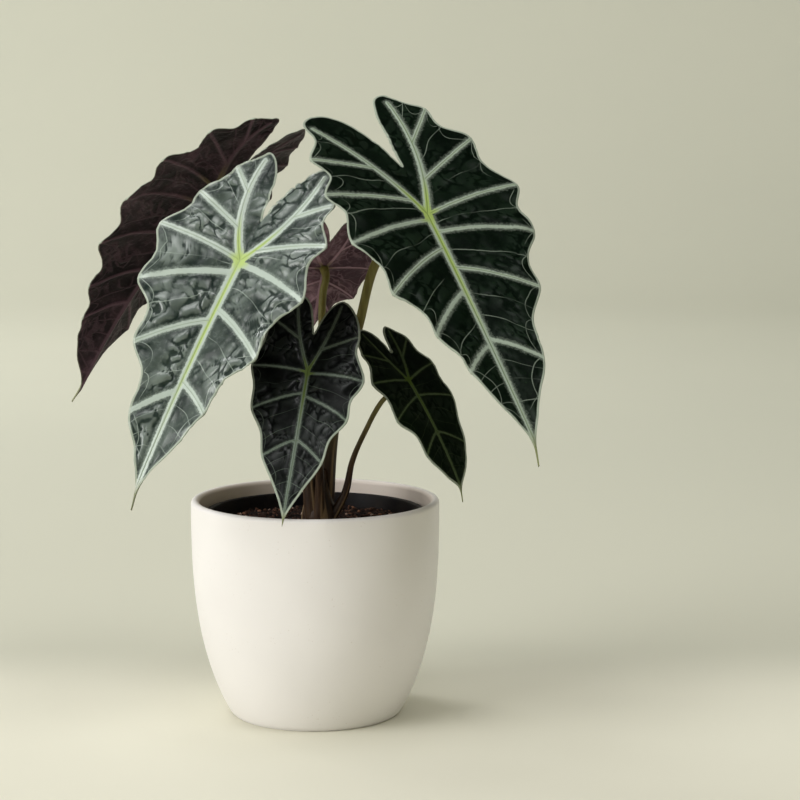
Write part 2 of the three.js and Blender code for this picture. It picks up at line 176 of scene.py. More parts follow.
# A profile of radius and height pairs turned about the Z axis, as points and quads
def turned(profile, sides):
    radius, height = np.asarray(profile, dtype=float).T[..., None]
    points = ringPoints(radius, height, roundAngles(sides))
    return points.reshape(-1, 3), ringFaces(len(profile), sides)


# The mesh of a piece, from points in millimetres and quads, with points that fall
# together merged. Numbers given for each point are kept as attributes.
def newPiece(name, points, faces, materials, slots=None, attributes=None):
    mesh = bpy.data.meshes.new(name)
    mesh.from_pydata((np.asarray(points) * mm).tolist(), [], np.asarray(faces).tolist())
    for label, values in (attributes or {}).items():
        layer = mesh.attributes.new(label, "FLOAT", "POINT")
        layer.data.foreach_set("value", np.asarray(values, dtype=np.float32))
    if slots is not None:
        mesh.polygons.foreach_set("material_index", np.asarray(slots, dtype=np.int32))
    welded = bmesh.new()
    welded.from_mesh(mesh)
    bmesh.ops.remove_doubles(welded, verts=welded.verts, dist=0.000001)
    bmesh.ops.dissolve_degenerate(welded, edges=welded.edges, dist=0.0000002)
    welded.to_mesh(mesh)
    welded.free()
    mesh.polygons.foreach_set("use_smooth", [True] * len(mesh.polygons))
    for material in materials:
        mesh.materials.append(material)
    piece = newObject(name, mesh)
    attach(piece, "root")
    return piece


# 0 below the low value, 1 above the high one, and an S curve between them
def smooth(value, low, high):
    share = np.clip((value - low) / (high - low), 0, 1)
    return share * share * (3 - 2 * share)


# Soft unevenness: seven plane waves of about one wavelength in seeded directions
def ripple(x, y, wavelength, seed):
    waves = np.random.default_rng(seed).random((7, 3))
    total = np.zeros(np.broadcast(x, y).shape)
    for turn, phase, stretch in waves:
        step = 2 * np.pi / (wavelength * (0.7 + 0.7 * stretch))
        total += np.sin(step * (x * np.cos(2 * np.pi * turn) + y * np.sin(2 * np.pi * turn))
                        + 2 * np.pi * phase)
    return total / math.sqrt(len(waves))


# Camera, level with the leaves and looking slightly down
cameraView = {"place": (47.8, -1298, 349), "lookDown": 7.5, "lens": 105, "farthest": 50}

camera = newObject("camera", bpy.data.cameras.new("camera"))
camera.location = [part * mm for part in cameraView["place"]]
camera.rotation_euler = ((90 - cameraView["lookDown"]) * degree, 0, 0)
camera.data.lens = cameraView["lens"]
camera.data.clip_end = cameraView["farthest"]
bpy.context.scene.camera = camera
bpy.context.scene.view_settings.view_transform = "Standard"

# The ceramic pot
potForm = {
    "height": 122.5, "radius": 70, "foot": 47.6, "wall": 4.8, "floor": 6,
    "swell": 2.9, "flare": 0.92, "footEdge": 0.9, "fillet": (2, 3),
    "sides": 224, "wallRows": 90, "innerRows": 40,
    # The inside tone is painted shade, darker and browner than the glaze
    "glaze": ((0.80, 0.775, 0.765), (0.84, 0.815, 0.805)), "insideShadeTone": (0.76, 0.67, 0.59),
    "speckTone": (0.45, 0.38, 0.3),
}


# The radius grows quickly from the foot and levels off at the rim:
# foot + (rim - foot) * (1 - (1 - z / height) ^ swell) ^ flare
def potRadiusAt(z):
    rise = 1 - (1 - np.asarray(z, dtype=float) / potForm["height"]) ** potForm["swell"]
    return potForm["foot"] + (potForm["radius"] - potForm["foot"]) * rise ** potForm["flare"]


# The profile goes out along the base, up the wall, over the rim as a half circle and down
# inside. How far a point lies inside the wall is kept for the glaze's painted shade inside.
def makePot(material):
    lip = potForm["wall"] / 2
    lipFoot = potForm["height"] - lip
    edge = potForm["footEdge"]
    turn = np.linspace(0, 90, 6) * degree
    foot = np.stack([potForm["foot"] - edge + edge * np.sin(turn), edge - edge * np.cos(turn)], axis=1)
    rise = edge + (lipFoot - edge) * np.linspace(0, 1, potForm["wallRows"])[1:] ** 1.25
    wall = np.stack([potRadiusAt(rise), rise], axis=1)
    turn = np.linspace(0, 180, 17)[1:] * degree
    rim = np.stack([potForm["radius"] - lip + lip * np.cos(turn), lipFoot + lip * np.sin(turn)], axis=1)
    inwards, upwards = potForm["fillet"]
    fall = lipFoot + (potForm["floor"] + upwards - lipFoot) * np.linspace(0, 1, potForm["innerRows"])[1:]
    inner = np.stack([potRadiusAt(fall) - potForm["wall"], fall], axis=1)
    floorEdge = float(potRadiusAt(potForm["floor"])) - potForm["wall"] - inwards
    floor = [[floorEdge, potForm["floor"]], [0, potForm["floor"]]]
    profile = np.concatenate([[[0, 0]], foot, wall, rim, inner, floor])
    points, faces = turned(profile, potForm["sides"])
    x, y, z = points.T
    inside = smooth(potRadiusAt(z) - np.hypot(x, y), 1.5, potForm["wall"]) * smooth(z, 4, potForm["floor"])
    piece = newPiece("ceramic_pot", points, faces, [material], attributes={"inside": inside})
    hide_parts("pot")


# Matt cream glaze: faint cloudy tone, painted shade inside the wall as a darker, browner
# tone, tiny darker specks, a very fine orange-peel bump
def ceramicFinish():
    material, wire, place = newMaterial("cream_glaze")
    cloud = place.noise(14, 2)
    speck = place.cells(420).fall(0.08, 0.16) * place.noise(60, 1).rise(0.56, 0.66)
    body = cloud.rise(0.3, 0.7).mix(*potForm["glaze"])
    # Painted shade: the inside of the wall takes the darker, browner tone
    body = wire.attribute("inside").mix(body, potForm["insideShadeTone"])
    colour = (speck * 0.3).mix(body, potForm["speckTone"])
    peel = place.noise(520, 2).bump(0.00006, 0.35)
    finishMaterial(wire, {"Base Color": colour, "Roughness": 0.46 + cloud * 0.12, "Normal": peel,
                          "Coat Weight": 0.12, "Coat Roughness": 0.35})
    return material


# The nursery pot inside it
linerForm = {
    "top": 115.5, "bottom": 6.3, "footRadius": 41, "radius": 60, "rimRadius": 62.2,
    "rimDepth": 6, "rimEdge": 0.7, "footEdge": 0.8, "bevel": (0.3, 0.4), "wall": 1, "floor": 1.2,
    "sides": 192, "innerRows": 24,
    "tones": ((0.007, 0.006, 0.0065), (0.035, 0.027, 0.022)),
}


# The radius inside its straight, slanting wall
def linerRadiusAt(z):
    foot = linerForm["footRadius"]
    rise = (z - linerForm["bottom"]) / (linerForm["top"] - linerForm["bottom"])
    return foot + (linerForm["radius"] - foot) * rise - linerForm["wall"]


# The profile goes out along the base, straight up to the rim's skirt, over a thin rounded
# rim and down inside
def makeLiner(material):
    top, bottom = linerForm["top"], linerForm["bottom"]
    rimFoot = top - linerForm["rimDepth"]
    inside = linerRadiusAt(top)
    bead = (linerForm["rimRadius"] - inside) / 2
    turn = np.linspace(0, 180, 11) * degree
    edge = linerForm["rimEdge"]
    lip = np.stack([inside + bead + bead * np.cos(turn), top - edge + edge * np.sin(turn)], axis=1)
    floorTop = bottom + linerForm["floor"]
    foot, edge = linerForm["footRadius"], linerForm["footEdge"]
    low = [[0, bottom], [foot - edge, bottom], [foot, bottom + edge]]
    across, upwards = linerForm["bevel"]
    skirt = [[linerRadiusAt(rimFoot) + linerForm["wall"], rimFoot + across],
             [linerForm["rimRadius"] - across, rimFoot], [linerForm["rimRadius"], rimFoot + upwards]]
    down = np.linspace(top - 2, floorTop, linerForm["innerRows"])
    inner = np.stack([linerRadiusAt(down), down], axis=1)
    profile = np.concatenate([low, skirt, lip, inner, [[0, floorTop]]])
    points, faces = turned(profile, linerForm["sides"])
    piece = newPiece("nursery_pot_shell", points, faces, [material])
    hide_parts("nursery_pot")


# Thin black plastic: satin, faintly dusty, with fine scuffs in its gloss
def plasticFinish():
    material, wire, place = newMaterial("black_plastic_satin")
    dust = place.noise(90, 4).rise(0.45, 0.75)
    scuff = place.stretched((40, 40, 900)).noise(6, 2)
    colour = (dust * 0.35).mix(*linerForm["tones"])
    finishMaterial(wire, {"Base Color": colour, "Roughness": 0.36 + dust * 0.2 + scuff * 0.1,
                          "Normal": scuff.bump(0.00003, 0.3), "Specular IOR Level": 0.06})
    return material


# The soil, with a plain hole where the crown stands
soilForm = {
    "top": 108, "relief": 1.6, "shoulder": 4, "clearance": 0.3, "crownX": 2.5, "crownRadius": 10.3,
    "hole": 14, "rings": 92, "sides": 288,
    "tones": ((0.003, 0.0016, 0.0012), (0.026, 0.012, 0.0075)), "crumbTone": (0.15, 0.07, 0.042),
}


# Low mounds from crossed waves, as in the solid, with crumbs of two sizes on them
def soilHeight(x, y):
    broad = np.sin(x * 0.11 + 1.3) * np.cos(y * 0.13 - 0.4)
    fine = np.sin(x * 0.31 - y * 0.23) * np.cos(y * 0.37 + x * 0.12)
    crumbs = 0.5 * ripple(x, y, 5, 11) + 0.3 * ripple(x, y, 2.4, 12)
    return soilForm["top"] + soilForm["relief"] * (0.5 * broad + 0.5 * fine) + 0.5 * crumbs


# The rings of its top slide from the round wall to the round hole, whose centre is off
# the axis. The wall and floor below and the hole's floor close it.
def makeSoil(material):
    clearance, crownX = soilForm["clearance"], soilForm["crownX"]
    edgeTop = soilForm["top"] - soilForm["shoulder"]
    outer = linerRadiusAt(edgeTop) - clearance
    holeRadius = soilForm["crownRadius"] + clearance
    angle = roundAngles(soilForm["sides"])
    share = np.linspace(0, 1, soilForm["rings"])[:, None]
    x = (1 - share) * outer * np.cos(angle) + share * (crownX + holeRadius * np.cos(angle))
    y = (1 - share) * outer * np.sin(angle) + share * holeRadius * np.sin(angle)
    z = soilHeight(x, y)
    z[0] = edgeTop
    floor = linerForm["bottom"] + linerForm["floor"] + clearance
    floorRadii = np.array([[0], [linerRadiusAt(floor) - clearance]])
    holeFloor = soilForm["top"] - soilForm["hole"] - clearance
    rows = np.concatenate([ringPoints(floorRadii, floor, angle), np.stack([x, y, z], axis=-1),
                           ringPoints(np.array([[holeRadius], [0]]), holeFloor, angle, crownX)])
    piece = newPiece("soil_bed", rows.reshape(-1, 3), ringFaces(*rows.shape[:2]), [material])
    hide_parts("soil")


# Damp potting mix: near black, browner on its crumbs, rough
def soilFinish():
    material, wire, place = newMaterial("potting_mix")
    crumb = place.cells(520)
    tone = place.noise(160, 4)
    colour = tone.rise(0.35, 0.75).mix(*soilForm["tones"])
    colour = (crumb.fall(0.1, 0.3) * tone.rise(0.5, 0.62) * 0.6).mix(colour, soilForm["crumbTone"])
    relief = (crumb.fall(0.0, 0.6) + place.noise(900, 3)).bump(0.0007, 0.9)
    finishMaterial(wire, {"Base Color": colour, "Roughness": 0.93, "Normal": relief,
                          "Specular IOR Level": 0.1})
    return material


# Loose bits on the soil: how many, how large, how flat, the share of them that gathers
# towards the front left of the pot, and their finish
bitForms = {
    "soil_crumbs": {
        "count": 620, "size": (0.9, 2.4), "flat": 0.7, "front": 0.0, "seed": 21,
        "finish": "crumb", "tones": ((0.010, 0.006, 0.0045), (0.11, 0.052, 0.033))},
    "bark_bits": {
        "count": 130, "size": (1.6, 4.2), "flat": 0.4, "front": 0.3, "seed": 22,
        "finish": "bark", "tones": ((0.035, 0.018, 0.01), (0.25, 0.115, 0.068))},
    "pumice_bits": {
        "count": 85, "size": (1.1, 2.6), "flat": 0.8, "front": 0.75, "seed": 23,
        "finish": "pumice", "tones": ((0.24, 0.15, 0.11), (0.5, 0.36, 0.29))},
}

# What all bits share: the faces of their ball, how far they keep from crown and wall, the
# heading and spread of those that gather, and how much they are knocked about and raised
bitBall = {
    "rings": 4, "sides": 7, "fromCrown": 2.5, "fromWall": 3, "frontHeading": -125, "spread": 42,
    "knock": 0.22, "stretch": (0.75, 0.5), "tilt": 0.5, "rise": 0.22,
}


# Each bit is a ball of few faces, squashed, knocked about and laid half sunk on the soil
def makeBits(name):
    form, sides = bitForms[name], bitBall["sides"]
    random = np.random.default_rng(form["seed"])
    tilt = np.linspace(0, np.pi, bitBall["rings"] + 1)
    ball, faces = turned(np.stack([np.sin(tilt), -np.cos(tilt)], axis=1), sides)
    count = form["count"]
    inner = soilForm["crownRadius"] + bitBall["fromCrown"]
    outer = linerRadiusAt(soilForm["top"]) - bitBall["fromWall"]
    reach = np.sqrt(inner ** 2 + (outer ** 2 - inner ** 2) * random.random(count))
    angle = 2 * np.pi * random.random(count)
    toFront = random.random(count) < form["front"]
    aside = bitBall["spread"] * random.standard_normal(int(toFront.sum()))
    angle[toFront] = (bitBall["frontHeading"] + aside) * degree
    x = reach * np.cos(angle)
    y = reach * np.sin(angle)
    size = form["size"][0] + (form["size"][1] - form["size"][0]) * random.random(count) ** 2
    knock = 1 + bitBall["knock"] * random.standard_normal((count, len(ball)))
    knock[:, :sides] = knock[:, :1]
    knock[:, -sides:] = knock[:, -1:]
    least, more = bitBall["stretch"]
    stretch = least + more * random.random((count, 3))
    stretch[:, 2] *= form["flat"]
    points = ball[None] * knock[..., None] * stretch[:, None] * (size / 2)[:, None, None]
    turn = 2 * np.pi * random.random(count)
    tilt = bitBall["tilt"] * random.standard_normal(count)
    spun = np.stack([
        points[..., 0] * np.cos(turn)[:, None] - points[..., 1] * np.sin(turn)[:, None],
        points[..., 0] * np.sin(turn)[:, None] + points[..., 1] * np.cos(turn)[:, None],
        points[..., 2] + points[..., 0] * np.sin(tilt)[:, None]], axis=-1)
    height = soilHeight(x, y) + bitBall["rise"] * size
    spun += np.stack([x, y, height], axis=-1)[:, None]
    numbered = (faces[None] + (np.arange(count) * len(ball))[:, None, None]).reshape(-1, 4)
    tone = np.repeat(random.random(count), len(ball))
    newPiece(name, spun.reshape(-1, 3), numbered, [bitFinish(form)], attributes={"tone": tone})


# Each bit has its own tone between dark and pale, darker in the pits of its grain
def bitFinish(form):
    material, wire, place = newMaterial(form["finish"])
    grain = place.noise(1400, 3)
    colour = wire.attribute("tone").mix(*form["tones"])
    colour = (grain.fall(0.3, 0.5) * 0.5).mix(colour, form["tones"][0])
    finishMaterial(wire, {"Base Color": colour, "Roughness": 0.9, "Normal": grain.bump(0.0002, 0.8),
                          "Specular IOR Level": 0.15})
    return material


# The leaves. Each blade lies flat in u and v: the petiole joins at 0, 0, v runs along
# the midrib to the tip and u to the right. The drip tip has a half width, a length and
# a bend aside. A side lists the bend of its costa, two handles of its lobe's inner
# edge, the roots of its side veins, on the costa where negative and else on the
# midrib, and its edge: the lobe's tip, by turns a notch and a vein's end, and a last
# notch. The mesh has so many rows for each step of midribRoots.
leafForms = {
    "leaf_back_left": {
        "joint": (-56, 30, 294.3), "heading": 160, "dip": 43, "roll": 6, "bend": 14, "lobeBend": 28,
        "length": 156, "sinus": -24, "drip": (1.3, 12, 2), "midribRoots": [0, 12, 36, 62, 86],
        "rows": 24, "columns": 42,
        "left": {
            "fold": 6, "curl": 44, "costa": (-14, -26), "inner": [(-1, -42), (2, -66)],
            "roots": [-38, -20, 0, 12, 36, 62, 86],
            "edge": [(-12, -60), (-22, -54), (-28, -45), (-33, -37), (-41, -29), (-42, -18), (-55, -3),
                     (-50, 11), (-56, 25), (-43, 42), (-43, 57), (-27, 71), (-26, 84), (-19, 93),
                     (-20, 107), (-10, 121)]},
        "right": {
            "fold": 28, "curl": 50, "costa": (18, -25), "inner": [(5, -42), (10, -60)],
            "roots": [-42, -22, 0, 12, 36, 62, 86],
            "edge": [(17, -59), (22, -54), (29, -51), (31, -40), (45, -32), (38, -17), (57, -6), (49, 8),
                     (59, 23), (43, 43), (49, 55), (33, 71), (33, 84), (24, 95), (24, 104), (15, 124)]},
    },
    "leaf_front_left": {
        "joint": (-38.1, -42, 259.2), "heading": -130, "dip": 52, "roll": -13, "bend": 6, "lobeBend": 10,
        "length": 150, "sinus": -27, "drip": (1.2, 13, 2), "midribRoots": [0, 35, 79],
        "rows": 28, "columns": 46,
        "left": {
            "fold": 20, "curl": 12, "costa": (-19, -29), "inner": [(-2, -46), (-6, -68)],
            "roots": [-47, -22, 0, 8, 38, 81],
            "edge": [(-15, -68), (-21, -61), (-28, -53), (-30, -44), (-40, -31), (-40, -20), (-51, -5),
                     (-45, 12), (-48, 29), (-35, 43), (-34, 64), (-22, 79), (-20, 101), (-10, 118)]},
        "right": {
            "fold": 6, "curl": 12, "costa": (25, -28), "inner": [(5, -46), (12, -65)],
            "roots": [-39, -9, 2, 31, 76],
            "edge": [(24, -66), (32, -57), (39, -44), (39, -31), (47, -18), (43.5, -3), (49, 17),
                     (38.5, 34), (38, 55), (26, 71), (22, 91), (12, 115)]},
    },
    "leaf_right": {
        "joint": (62.7, -28, 283.2), "heading": -59, "dip": 45, "roll": -7, "bend": 2, "lobeBend": 10,
        "length": 168, "sinus": -37, "drip": (1.1, 15, -3.8), "midribRoots": [0, 18, 46, 88],
        "rows": 28, "columns": 46,
        "left": {
            "fold": -4, "curl": 8, "costa": (-17, -40), "inner": [(-9, -62), (-26, -94)],
            "roots": [-43, -12, 4, 24, 54, 90],
            "edge": [(-47, -73), (-46, -59), (-55, -44), (-49, -31), (-57, -17), (-52, -2), (-55, 19),
                     (-45, 37), (-45, 55), (-33, 68), (-31, 84), (-23, 99), (-20, 108), (-11, 130)]},
        "right": {
            "fold": 20, "curl": 12, "costa": (18, -46), "inner": [(2, -64), (1, -98)],
            "roots": [-58, -27, 0, 13, 38, 87],
            "edge": [(14, -95), (24, -86), (34, -78), (35, -63), (50, -50), (46.5, -31), (60, -11),
                     (53.5, 5), (57, 22), (44, 40), (43, 60), (29.5, 81), (26, 105), (14, 127)]},
    },
    "leaf_back": {
        "joint": (4.4, 34, 249.7), "heading": 104, "dip": 46, "roll": 0, "bend": 16, "lobeBend": 12,
        "length": 56, "sinus": -22.5, "drip": (0.9, 10, 1.5), "midribRoots": [0, 10, 22],
        "rows": 20, "columns": 28,
        "left": {
            "fold": 8, "curl": 15, "costa": (-10, -13), "inner": [(-4, -29), (-5, -42)],
            "roots": [-20, 0, 10, 22],
            "edge": [(-14, -41), (-20, -34), (-25, -25), (-25, -13), (-30, 5), (-24.5, 18.5), (-22, 28),
                     (-12, 31.5), (-8, 37.8), (-3.6, 42.3)]},
        "right": {
            "fold": 8, "curl": 15, "costa": (9, -13), "inner": [(1, -29), (3, -43)],
            "roots": [-20, 0, 10, 22],
            "edge": [(13, -42), (19, -35), (24, -26), (25, -13), (30, 4), (25, 16), (22, 27), (13.5, 31),
                     (9, 38), (4, 42.5)]},
    },
    "leaf_front": {
        "joint": (-1.8, -50, 200.5), "heading": -101, "dip": 51, "roll": -18, "bend": 4, "lobeBend": 8,
        "length": 94, "sinus": -24, "drip": (1, 6, 0), "midribRoots": [0, 15, 43],
        "rows": 26, "columns": 38,
        "left": {
            "fold": -8, "curl": 10, "costa": (-9, -20), "inner": [(-2, -36), (-3, -50)],
            "roots": [-24, 1, 14, 43],
            "edge": [(-12, -49), (-19, -42), (-24, -32), (-27, -15), (-31, 0), (-28, 13), (-27, 27),
                     (-20, 41), (-17, 55), (-8, 72)]},
        "right": {
            "fold": 20, "curl": 12, "costa": (9, -20), "inner": [(2.5, -34), (8, -46)],
            "roots": [-16, 2, 16, 43],
            "edge": [(14, -45.5), (21.5, -37.5), (26, -22), (25.5, -12), (32, 6), (26.5, 19), (26, 31),
                     (18.5, 43), (16, 57), (8, 73)]},
    },
    "leaf_front_right": {
        "joint": (52.6, -26, 192.1), "heading": -42, "dip": 49, "roll": 0, "bend": 20, "lobeBend": 8,
        "length": 75, "sinus": -20, "drip": (1, 8, -2.2), "midribRoots": [0, 9, 33],
        "rows": 22, "columns": 32,
        "left": {
            "fold": -2, "curl": 8, "costa": (-7, -15), "inner": [(-2, -29), (-5, -39)],
            "roots": [-18, 0, 10, 33],
            "edge": [(-13, -37), (-19, -30), (-22, -21), (-22, -13), (-27, -2), (-24, 9), (-24, 23),
                     (-17, 34), (-15, 46), (-8, 59)]},
        "right": {
            "fold": 8, "curl": 12, "costa": (7, -15), "inner": [(1.3, -29), (2.8, -37)],
            "roots": [-18, 0, 10, 33],
            "edge": [(7.5, -36.8), (13, -31.5), (17, -27), (18, -18), (24, -8), (23, 3), (24, 15),
                     (19, 30), (16.5, 43), (9, 57)]},
    },
}

# Three blades have the same tones on their undersides, which face away from the front
hiddenUnderside = {"under": (0.035, 0.018, 0.02), "underPale": (0.08, 0.05, 0.05)}

# How each blade looks: the tones of its skin, dark and painted into the creases as shade,
# and pale and painted on the bulges as light, raised on the front left blade as a painted
# sheen, and its gloss, the half widths of its midrib, costae and side veins at root and end
# and their tone, how far the yellow-green runs along midrib and costae, how dark the line
# in a vein's middle is, partly painted shade of its groove, how deep it is quilted, and
# the tones of its underside
leafLooks = {
    "leaf_back_left": {
        "darkAndShaded": (0.006, 0.014, 0.010), "paleAndLit": (0.020, 0.036, 0.027), "gloss": 0.6, "rough": 0.42,
        "midrib": (2.6, 0.9), "costa": (2.0, 0.9), "vein": (1.2, 0.8), "tone": (0.30, 0.37, 0.30),
        "warm": (45, 25), "line": 0.6, "quilt": 0.9, "under": (0.0045, 0.0014, 0.0027),
        "underPale": (0.072, 0.040, 0.053), "seed": 31},
    "leaf_front_left": {
        # Its pale tone is raised far above the other blades' as a painted sheen
        "darkAndShaded": (0.002, 0.010, 0.0065), "paleAndLit": (0.135, 0.168, 0.145), "gloss": 1.0, "rough": 0.28,
        "midrib": (3.0, 1.2), "costa": (2.5, 1.3), "vein": (1.75, 1.3), "tone": (0.41, 0.48, 0.42),
        "warm": (118, 34), "line": 0.4, "quilt": 1.5, "under": (0.045, 0.025, 0.028),
        "underPale": (0.09, 0.06, 0.06), "seed": 32},
    "leaf_right": {
        "darkAndShaded": (0.0006, 0.0028, 0.0010), "paleAndLit": (0.005, 0.0125, 0.0055), "gloss": 0.12, "rough": 0.3,
        "midrib": (2.5, 1.0), "costa": (2.0, 1.1), "vein": (1.1, 0.85), "tone": (0.30, 0.355, 0.285),
        "warm": (95, 32), "line": 0.6, "quilt": 0.6, **hiddenUnderside, "seed": 33},
    "leaf_back": {
        "darkAndShaded": (0.008, 0.018, 0.012), "paleAndLit": (0.024, 0.042, 0.030), "gloss": 0.4, "rough": 0.42,
        "midrib": (1.2, 0.5), "costa": (1.1, 0.5), "vein": (0.7, 0.45), "tone": (0.28, 0.34, 0.26),
        "warm": (24, 12), "line": 0.5, "quilt": 0.8, "under": (0.050, 0.021, 0.034),
        "underPale": (0.27, 0.165, 0.20), "seed": 34},
    "leaf_front": {
        "darkAndShaded": (0.0003, 0.0007, 0.0005), "paleAndLit": (0.012, 0.016, 0.0135), "gloss": 0.33, "rough": 0.3,
        "midrib": (1.25, 0.6), "costa": (0.9, 0.5), "vein": (0.65, 0.45), "tone": (0.13, 0.165, 0.13),
        "warm": (40, 14), "line": 0.5, "quilt": 0.75, **hiddenUnderside, "seed": 35},
    "leaf_front_right": {
        "darkAndShaded": (0.0012, 0.004, 0.0014), "paleAndLit": (0.0045, 0.0105, 0.004), "gloss": 0.12, "rough": 0.36,
        "midrib": (1.1, 0.5), "costa": (0.75, 0.45), "vein": (0.5, 0.35), "tone": (0.07, 0.10, 0.045),
        "warm": (45, 16), "line": 0.3, "quilt": 0.4, **hiddenUnderside, "seed": 36},
}

# What all blades share: their thickness, and its share left at the margin and how wide
# that is, the ribs below and veins above, the margin's waves as shares of its distance
# from the spine, how veins arch, how much of a lobe the costa runs through, and how
# closely the columns stand near the spine
bladeForm = {
    "thickness": 0.8, "thinMargin": 0.45, "marginWidth": 2.5, "ribHeight": 0.9, "veinHeight": 0.2,
    "waveHeight": 0.006, "stir": 0.014, "veinArch": 0.2, "archStart": -5, "archLength": 15,
    "costaReach": 0.93, "columnSpread": 1.12,
}

# Thin veins: the gap between them, how far they stray in steps of phase, how deep their
# arches reach in from the edge at least and at most above that, and how far those stray,
# in mm on a leaf 150 mm long
threadForm = {"gap": 15, "stray": 0.07, "archDepth": (3, 4.5), "archStray": 0.3}

# The quilting: its large bulges and the share that small ones have of them, how far they
# stray from an even pattern, how wide creases are, how high bulges stand, how deep creases
# and the gaps between small bulges go, and the level that all of them start from
quilting = {
    "lump": 8.2, "smallShare": 0.45, "stray": 2.8, "strayLength": 12, "creaseWidth": 0.42,
    "lumpHeight": 1.35, "creaseDepth": 0.2, "smallDepth": 0.16, "level": 0.85,
}

# Where the points that shape an edge lie, as shares of a lobe's inner edge, and of the
# way from the last vein's end to the tip
innerMarks = [0, 0.3, 0.6, 0.85, 1]
tipMarks = [0, 0.5, 0.75, 1]


# The curve drawn by a row of handles, found by sliding along the lines between them
def bezier(points, t):
    t = np.asarray(t, dtype=float)[..., None]
    row = [np.asarray(point, dtype=float) for point in points]
    while len(row) > 1:
        row = [first + (second - first) * t for first, second in zip(row, row[1:])]
    return row[0]


# A smooth curve through points, at places counted in points: each span is a cubic whose
# slopes come from the gaps round it, measured as the square roots of their lengths
def curveAt(points, place):
    points = np.asarray(points, dtype=float)
    padded = np.concatenate([[2 * points[0] - points[1]], points, [2 * points[-1] - points[-2]]])
    gap = np.linalg.norm(np.diff(padded, axis=0), axis=1) ** 0.5
    span = np.clip(np.asarray(place).astype(int), 0, len(points) - 2)
    t = (place - span)[:, None]
    p0, p1, p2, p3 = (padded[span + k] for k in range(4))
    d0, d1, d2 = (gap[span + k][:, None] for k in range(3))
    m1 = ((p1 - p0) / d0 - (p2 - p0) / (d0 + d1) + (p2 - p1) / d1) * d1
    m2 = ((p2 - p1) / d1 - (p3 - p1) / (d1 + d2) + (p3 - p2) / d2) * d1
    return p1 + m1 * t + (3 * (p2 - p1) - 2 * m1 - m2) * t ** 2 + (2 * (p1 - p2) + m1 + m2) * t ** 3


# Where the stations of a side start: its lobe's tip, each vein and the leaf's tip
def sideRoots(leaf, side):
    form = leaf[side]
    return np.array([-math.hypot(*form["edge"][0]), *form["roots"], leaf["length"]], dtype=float)


# The points an edge runs through: the lobe's inner edge, the listed ones and the drip tip
def edgeKnots(leaf, side):
    form = leaf[side]
    inner = bezier([(0, leaf["sinus"]), *form["inner"], form["edge"][0]], innerMarks)
    width, length, bend = leaf["drip"]
    flip = math.copysign(1, form["edge"][0][0])
    return np.concatenate([inner, form["edge"][1:],
                           [(flip * width, leaf["length"] - length), (bend, leaf["length"])]])


# The edge at a station: every vein's end is two knots on from the last, with a notch
# between, and the way from the last vein to the tip takes three
def edgePoint(leaf, side, station):
    last = len(leaf[side]["roots"])
    toTip = 2 * last + np.interp(station - last, tipMarks, range(len(tipMarks)))
    place = len(innerMarks) - 1 + np.where(station > last, toTip, 2 * station)
    return curveAt(edgeKnots(leaf, side), place)


# The spine of a side: the costa at negative lengths, which ends inside the lobe, then
# the midrib, which bends aside in the drip tip
def spinePoint(leaf, side, root):
    form = leaf[side]
    lobe = form["edge"][0]
    share = np.clip(-root / math.hypot(*lobe), 0, 1) * bladeForm["costaReach"]
    costa = bezier([(0, 0), form["costa"], lobe], share)
    _, length, bend = leaf["drip"]
    aside = bend * np.clip(1 - (leaf["length"] - root) / length, 0, 1)
    return np.where((root < 0)[..., None], costa, np.stack([aside, root], axis=-1))


# Rows of a side at the given stations, with columns at the given shares of the way
# from spine to edge, arched towards the petiole
def outerRows(leaf, side, station, root, share):
    spine = spinePoint(leaf, side, root)
    edge = edgePoint(leaf, side, station)
    reach = np.hypot(*(edge - spine).T)
    turnIn = 1 + np.tanh((root - bladeForm["archStart"]) / bladeForm["archLength"])
    turnIn *= np.clip(station, 0, 1)
    arch = bladeForm["veinArch"] / 2 * turnIn * reach
    flat = spine[:, None] + (edge - spine)[:, None] * share[None, :, None]
    flat[..., 1] -= arch[:, None] * (share * (1 - share))[None]
    return flat, reach


# Rows from the costa to the inner edge of its lobe
def innerRows(leaf, side, root, share):
    place = np.interp(root / sideRoots(leaf, side)[0], innerMarks, range(len(innerMarks)))
    rim = curveAt(edgeKnots(leaf, side), place)
    spine = spinePoint(leaf, side, root)
    return spine[:, None] + (rim - spine)[:, None] * share[None, :, None]


# Distance of flat points to a line of flat points, and how far along it they fall
def lineDistance(flat, line):
    start, step = line[:-1], np.diff(line, axis=0)
    size = np.maximum((step ** 2).sum(axis=1), 1e-9)
    offset = flat[:, None] - start[None]
    share = np.clip((offset * step[None]).sum(axis=2) / size, 0, 1)
    gap = offset - step[None] * share[..., None]
    distance = np.hypot(gap[..., 0], gap[..., 1])
    nearest = distance.argmin(axis=1)
    rows = np.arange(len(flat))
    along = (nearest + share[rows, nearest]) / len(step)
    return distance[rows, nearest], along


# How far points lie from the closest and the next of some scattered centres, in cells.
# Each square cell has one centre, put in it by the fractions of two large sines.
def bulgesAt(x, y, cell, seed):
    column, row = np.floor(x / cell), np.floor(y / cell)
    gaps = []
    for across in (-1, 0, 1):
        for ahead in (-1, 0, 1):
            a, b = column + across, row + ahead
            first = np.modf(np.abs(np.sin(a * 127.1 + b * 311.7 + seed) * 4375.85))[0]
            second = np.modf(np.abs(np.sin(a * 269.5 + b * 183.3 + seed) * 4375.85))[0]
            gaps.append(np.hypot(x / cell - a - 0.12 - 0.76 * first, y / cell - b - 0.12 - 0.76 * second))
    gaps = np.sort(np.stack(gaps), axis=0)
    return gaps[0], gaps[1]


